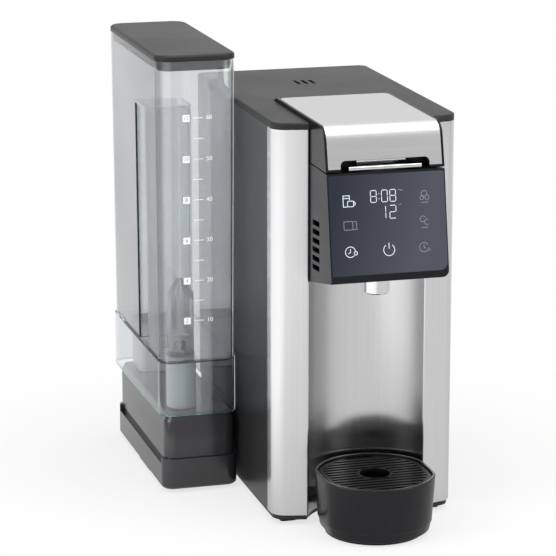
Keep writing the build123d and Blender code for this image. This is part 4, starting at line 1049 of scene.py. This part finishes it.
@dataclass
class DripTray:
    """Round tray with its grate and foot ring."""

    top_r: float = 0.0482
    flat: float = 0.0453
    crispness: float = 44.0
    foot_r: float = 0.0452
    rim: float = 0.0024
    step: float = 0.0006
    step_z: float = 0.0100
    ledge: float = 0.0045
    floor_z: float = 0.008
    grate_gap: float = 0.25 * MM
    field_r: float = 0.0410
    hub_r: float = 0.0145
    hole_r: float = 0.0120
    slot_pitch: float = 0.0060
    slot: float = 0.0026
    lap: float = 1.0 * MM
    shortest_bar: float = 12 * MM

    def clipped(self, profile: np.ndarray) -> np.ndarray:
        """Turned surface whose rings are cut by the tray's two flat sides.

        The reach at each angle is a high-power mean of the ring's radius and of the distance to the flat
        side, which is the flat's half width over the cosine, so that the smaller holds, with a soft corner.

        Args:
            profile: radius and height pairs.

        Returns:
            Grid of points about the origin.
        """
        grid = turned(profile, 256)
        radius = profile[:, :1]
        half = np.maximum(radius - self.top_r + self.flat, radius * 0.5)
        turn = np.linspace(0, 2 * np.pi, grid.shape[1], endpoint=False)[None, :]
        reach = (1 + (radius * np.abs(np.cos(turn)) / half) ** self.crispness) ** (-1 / self.crispness)
        grid[:, :, :2] *= reach[:, :, None]
        return grid

    def body(self) -> Piece:
        """Tray with two flat sides: foot, a fine step, a tapering wall, a round rim and a deep well."""
        low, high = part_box("tray_body")
        foot, well, top = self.foot_r, self.top_r - self.rim, high.z
        # Radius, height and round of each corner, from the underside's middle to the well's
        rows = np.array([
            (1e-4, low.z, 0), (foot - 1.4 * MM, low.z, 1.2 * MM), (foot, self.step_z, 0.15 * MM),
            (foot + self.step, self.step_z + self.step, 0.3 * MM), (self.top_r, top, 1.0 * MM),
            (well, top, 0.5 * MM), (well, top - self.ledge, 0.2 * MM),
            (well - 3 * MM, top - self.ledge, 0.4 * MM), (foot - 6 * MM, self.floor_z, 3 * MM),
            (1e-4, self.floor_z, 0),
        ])
        grid = self.clipped(rounded_loop(rows[:, :2], rows[:, 2], 5))
        grid += middle_of("tray_body")
        piece = new_piece("tray_well", grid, grid_faces(*grid.shape[:2], closed=True))
        return wear(mount(smooth(piece, 30), "tray_body"), TRAY_BLACK)

    def band(self, r0: float, r1: float, z0: float, z1: float, cut: bool) -> Solid:
        """Flat ring of the grate, about the tray's axis.

        Args:
            r0: inner radius.
            r1: outer radius.
            z0: underside.
            z1: top.
            cut: whether the tray's flat sides cut it.

        Returns:
            Its points and its faces.
        """
        profile = rounded_box(r0, r1, z0, z1, Edge.SOFT.value, 4)
        grid = self.clipped(profile) if cut else turned(profile, 128)
        return grid.reshape(-1, 3), grid_faces(*grid.shape[:2], closed=True)

    def bars(self, z0: float, z1: float) -> Solid:
        """Bars between the slots.

        A bar's long edge at y reaches out to the square root of R squared less y squared, where R is just
        past the field's radius, or to the flat side, and in to the same root taken inside the hub.

        Args:
            z0: underside.
            z1: top.

        Returns:
            Their points and their faces.
        """
        flat = self.field_r - self.top_r + self.flat + self.lap
        widest = self.top_r - self.rim - 1.5 * MM
        solids = []
        last = int(self.field_r / self.slot_pitch) + 1
        for k in range(-last, last + 1):
            edges = k * self.slot_pitch + np.array([-1, 1]) * (self.slot_pitch - self.slot) / 2
            if np.abs(edges).max() > widest:
                continue
            out = np.sqrt(np.maximum((self.field_r + self.lap) ** 2 - edges ** 2, self.shortest_bar ** 2))
            out = np.minimum(out, flat)
            inner = np.sqrt(np.maximum((self.hub_r - self.lap) ** 2 - edges ** 2, 0.0))
            for side in ((-1, 1) if inner.any() else (0,)):
                start, end = (side * inner, side * out) if side else (-out, out)
                loop = [(start[0], edges[0]), (end[0], edges[0]), (end[1], edges[1]), (start[1], edges[1])]
                solids.append(prism(loop, z0, z1))
        return joined(solids)

    def grate(self) -> Piece:
        """Grate of two rings joined by the bars between its fine slots."""
        low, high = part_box("tray_grate")
        outer = self.top_r - self.rim - self.grate_gap
        points, faces = joined([self.band(self.field_r, outer, low.z, high.z, True),
                                self.band(self.hole_r, self.hub_r, low.z, high.z, False),
                                self.bars(low.z, high.z)])
        piece = new_piece("tray_grille", points + middle_of("tray_grate"), faces)
        return wear(mount(soften(smooth(piece, 30), Edge.NARROW), "tray_grate"), GRATE_BLACK)

    def build(self) -> list[Piece]:
        """Makes and dresses the tray's pieces."""
        return [self.body(), self.grate(), *dressed([("tray_feet", "tray_ring", RUBBER, Edge.SOFT)])]


# The tank and its stand


class Stand:
    """Swivelling stand: base, seat, socket and the pivot behind the machine."""

    def build(self) -> list[Piece]:
        """Makes and dresses the stand's pieces."""
        return dressed([
            ("reservoir_base", "stand_base", STAND_BLACK, Edge.SOFT),
            ("reservoir_seat", "stand_seat", SEAT_BLACK, Edge.SOFT),
            ("base_screws", "stand_screws", PLAIN_STEEL),
            ("base_feet", "stand_pads", RUBBER, Edge.SOFT),
            ("inlet_socket", "stand_socket", STAND_BLACK, Edge.SMALL),
            ("inlet_seal", "stand_seal", SILICONE),
            ("base_hose", "stand_hose", SILICONE),
            ("pivot_post", "swivel_post", STAND_BLACK, Edge.SOFT),
            ("pivot_retainer", "swivel_washer", PLAIN_STEEL, Edge.SMALL),
            ("pivot_elbow", "swivel_elbow", STAND_BLACK, Edge.SMALL),
        ])


@dataclass
class Tank:
    """Clear tank with its printed scale, filter, valve and lid."""

    square_x: float = 0.0232
    tick_x0: float = 0.0290
    tick_x1: float = 0.0372
    number_x: float = 0.0396
    top_mark: float = 0.3132
    pitch: float = 0.0335
    square: float = 0.0056
    number_size: float = 0.0052
    cup_size: float = 0.0044
    taper: float = 1.4 / 245.0
    off_wall: float = 0.04 * MM
    off_square: float = 0.05 * MM
    ink: float = 0.02 * MM

    def front_y(self, z: float) -> float:
        """Y of the tank's front face at a height, just clear of it."""
        low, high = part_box("tank")
        return low.y + self.taper * (high.z - z) - self.off_wall

    def printed(self, piece: Piece, finish: Material) -> Piece:
        """Print on the tank, in its finish."""
        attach(piece, "tank_body")
        return wear(piece, finish)

    def drawn(self, strokes: Stroke, name: str, x: float) -> Piece:
        """Strokes printed on the front face, from x on."""
        plane = Matrix(((1, 0, 0, x), (0, -self.taper, -1, self.front_y(0.0)), (0, 1, 0, 0), (0, 0, 0, 1)))
        return self.printed(strokes.piece(name, plane, self.ink), PRINT)

    def number(self, text: str, x: float, z: float, size: float, grey: bool = False) -> Piece:
        """Flat number on the front face.

        Args:
            text: the digits.
            x: their left end, or their middle where they are grey.
            z: their middle.
            size: their height.
            grey: whether they are a cup number on a square.

        Returns:
            The new piece.
        """
        curve = bpy.data.curves.new("number_" + text, "FONT")
        curve.body = text
        curve.size = size
        curve.align_x = "CENTER" if grey else "LEFT"
        curve.align_y = "CENTER"
        curve.resolution_u = 3
        curve.extrude = self.ink / 2
        made = linked("number_curve", curve)
        mesh = bpy.data.meshes.new_from_object(made.evaluated_get(bpy.context.evaluated_depsgraph_get()))
        bpy.data.objects.remove(made)
        y = self.front_y(z) - (self.off_square if grey else 0.0)
        mesh.transform(Matrix.Translation((x, y, z)) @ Matrix.Rotation(math.pi / 2, 4, "X"))
        tidy(mesh)
        piece = linked(("scale_cup_" if grey else "scale_number_") + text, mesh)
        return self.printed(piece, PRINT_GREY if grey else PRINT)

    def scale(self) -> list[Piece]:
        """Printed scale: ticks, numbers from 10 to 60 and cup numbers from 2 to 12 in squares."""
        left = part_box("tank")[0].x
        ticks = Stroke(0.5)
        for k in range(11):
            z = (self.top_mark - k * self.pitch / 2) / MM
            ticks.ribbon([(self.tick_x0 / MM, z), (self.tick_x1 / MM, z)])
        made = [self.drawn(ticks, "scale_ticks", left)]
        x, half = (left + self.square_x) / MM, self.square / 2 / MM
        for k in range(6):
            z = self.top_mark - k * self.pitch
            cups = str(12 - 2 * k)
            square = Stroke(2 * half).ribbon([(x, z / MM - half), (x, z / MM + half)])
            made += [self.number(str(60 - 10 * k), left + self.number_x, z, self.number_size),
                     self.drawn(square, "scale_square_" + cups, 0.0),
                     self.number(cups, left + self.square_x, z, self.cup_size, grey=True)]
        return made

    def build(self) -> list[Piece]:
        """Makes and dresses the tank's pieces."""
        return dressed([
            ("tank", "tank_shell", TANK_CLEAR),
            ("valve_body", "tank_valve", STAND_BLACK, Edge.SMALL),
            ("valve_plunger", "tank_plunger", INNER),
            ("valve_spring", "tank_spring", PLAIN_STEEL),
            ("tank_filter", "tank_sieve", FILTER_CLEAR, Edge.FINE),
            ("tank_lid", "tank_cap", TANK_LID, Edge.SOFT),
            ("tank_lid_seal", "tank_cap_seal", SEAL_SMOKE),
        ]) + self.scale()


class Works:
    """The heater, pumps, boards and hoses inside the machine."""

    def build(self) -> list[Piece]:
        """Dresses the inner pieces."""
        finishes = {
            "heater": CAST_METAL, "heater_bracket": INNER, "thermostat": PLAIN_STEEL,
            "thermal_fuse": PLAIN_STEEL, "water_pump": INNER, "pump_mount": RUBBER, "air_pump": INNER,
            "air_pump_mount": RUBBER, "control_board": BOARD, "cold_hose": SILICONE, "pump_hose": SILICONE,
            "hot_hose": SILICONE, "air_hose": SILICONE, "hose_clamps": PLAIN_STEEL, "port_seal": SILICONE,
        }
        return dressed((node, node + "_dressed", finish) for node, finish in finishes.items())


# Camera, floor and light


@dataclass(frozen=True)
class Studio:
    """White floor, soft light and the camera at the photograph's place."""

    place: tuple[float, float, float] = (-0.58338, -2.04025, 0.70743)
    pitch: float = 14.071
    yaw: float = 15.745
    focal: float = 172.89
    aim: tuple[float, float, float] = (0.0, 0.0, 0.18)
    ambient: float = 0.55
    gloss_front: float = 0.58
    gloss_back: float = 0.78
    gloss_top: float = 0.35
    floor_half: float = 15.0
    floor_colour: Colour = (0.88, 0.88, 0.88)
    floor_near: float = 0.72
    floor_gloss: float = 0.7
    floor_front: float = 0.6
    floor_left: float = 1.3

    def camera(self) -> None:
        """Sets the camera where the photograph was taken from."""
        data = bpy.data.cameras.new("photo_camera")
        data.sensor_width = 36.0
        data.lens = self.focal
        data.clip_end = 100.0
        made = linked("photo_camera", data)
        made.location = self.place
        made.rotation_euler = Euler((math.radians(90 - self.pitch), 0, math.radians(-self.yaw)))
        bpy.context.scene.camera = made

    def world(self) -> None:
        """Even light, white to the camera and through clear plastic; gloss sees a softer front."""
        world = bpy.data.worlds.new("studio_world")
        bpy.context.scene.world = world
        world.use_nodes = True
        g = Graph(world.node_tree)
        path = g.add("LightPath").outputs
        way = g.axes(g.add("TexCoord").outputs["Generated"])
        gloss = g.maths("ADD", g.ramp(way["Y"], -0.6, 0.8, self.gloss_front, self.gloss_back),
                        g.ramp(way["Z"], 0.35, 0.8, 0.0, self.gloss_top))
        level = g.mix(g.seen(), g.mix(path["Is Glossy Ray"], self.ambient, gloss), 1.0)
        g.add("OutputWorld", Surface=g.add("Background", Color=WHITE, Strength=level).outputs[0])

    def floor(self) -> None:
        """Pale floor that turns white away from the object, with the object's shadow near it."""
        half = self.floor_half
        points = np.array([(-half, -half, 0), (half, -half, 0), (half, half, 0), (-half, half, 0)])
        piece = new_piece("floor", points, [(0, 1, 2, 3)])
        material = bpy.data.materials.new("floor_white")
        material.use_nodes = True
        g = Graph(material.node_tree)
        path = g.add("LightPath").outputs
        place = g.add("TexCoord").outputs["Object"]
        parts = g.axes(place)
        far = g.add("VectorMath", operation="LENGTH", _0=place).outputs["Value"]
        white = g.maths("MULTIPLY", g.seen(), g.ramp(far, 0.18, 0.42, self.floor_near, 1.0))
        plain = g.blend(white, g.add("BsdfDiffuse", Color=self.floor_colour).outputs[0],
                        g.add("Emission", Color=WHITE, Strength=1.0).outputs[0])
        # Gloss sees the floor brightest at the left and behind
        level = g.maths("MAXIMUM", g.ramp(parts["X"], -0.05, -0.4, self.floor_front, self.floor_left),
                        g.ramp(parts["Y"], -0.3, 0.4))
        glossy = g.maths("MULTIPLY", path["Is Glossy Ray"], self.floor_gloss)
        mirrored = g.add("Emission", Color=WHITE, Strength=level).outputs[0]
        g.add("OutputMaterial", Surface=g.blend(glossy, plain, mirrored))
        piece.data.materials.append(material)

    def lamp(self, name: str, place: Colour, size: tuple[float, float], power: float) -> None:
        """Soft rectangular light aimed at the object's middle.

        Args:
            name: the lamp's name.
            place: where it stands.
            size: its width and height.
            power: its power in watts.
        """
        data = bpy.data.lights.new(name, "AREA")
        data.shape = "RECTANGLE"
        data.size, data.size_y = size
        data.energy = power
        made = linked(name, data)
        made.location = place
        made.rotation_euler = (Vector(self.aim) - Vector(place)).to_track_quat("-Z", "Y").to_euler()

    def build(self) -> None:
        """Makes the camera, world, floor and lamps."""
        self.camera()
        self.world()
        self.floor()
        self.lamp("soft_left", (-1.3, -0.5, 0.9), (0.9, 1.2), 9.0)
        self.lamp("soft_right", (1.2, -1.1, 0.8), (0.9, 1.2), 9.0)
        self.lamp("soft_top", (0.1, -0.3, 1.6), (1.2, 1.2), 12.0)
        bpy.context.scene.view_settings.view_transform = "Standard"


def main() -> None:
    """Builds the sub-assemblies in order."""
    logging.basicConfig(level=logging.INFO, format="%(name)s %(message)s")
    for part in (Machine(), Head(), Lid(), DripTray(), Stand(), Tank(), Works()):
        for piece in part.build():
            log.info("%s: %s, %d faces", type(part).__name__, piece.name, len(piece.data.polygons))
    Studio().build()
    bpy.context.view_layer.update()


if __name__ == "__main__":
    main()
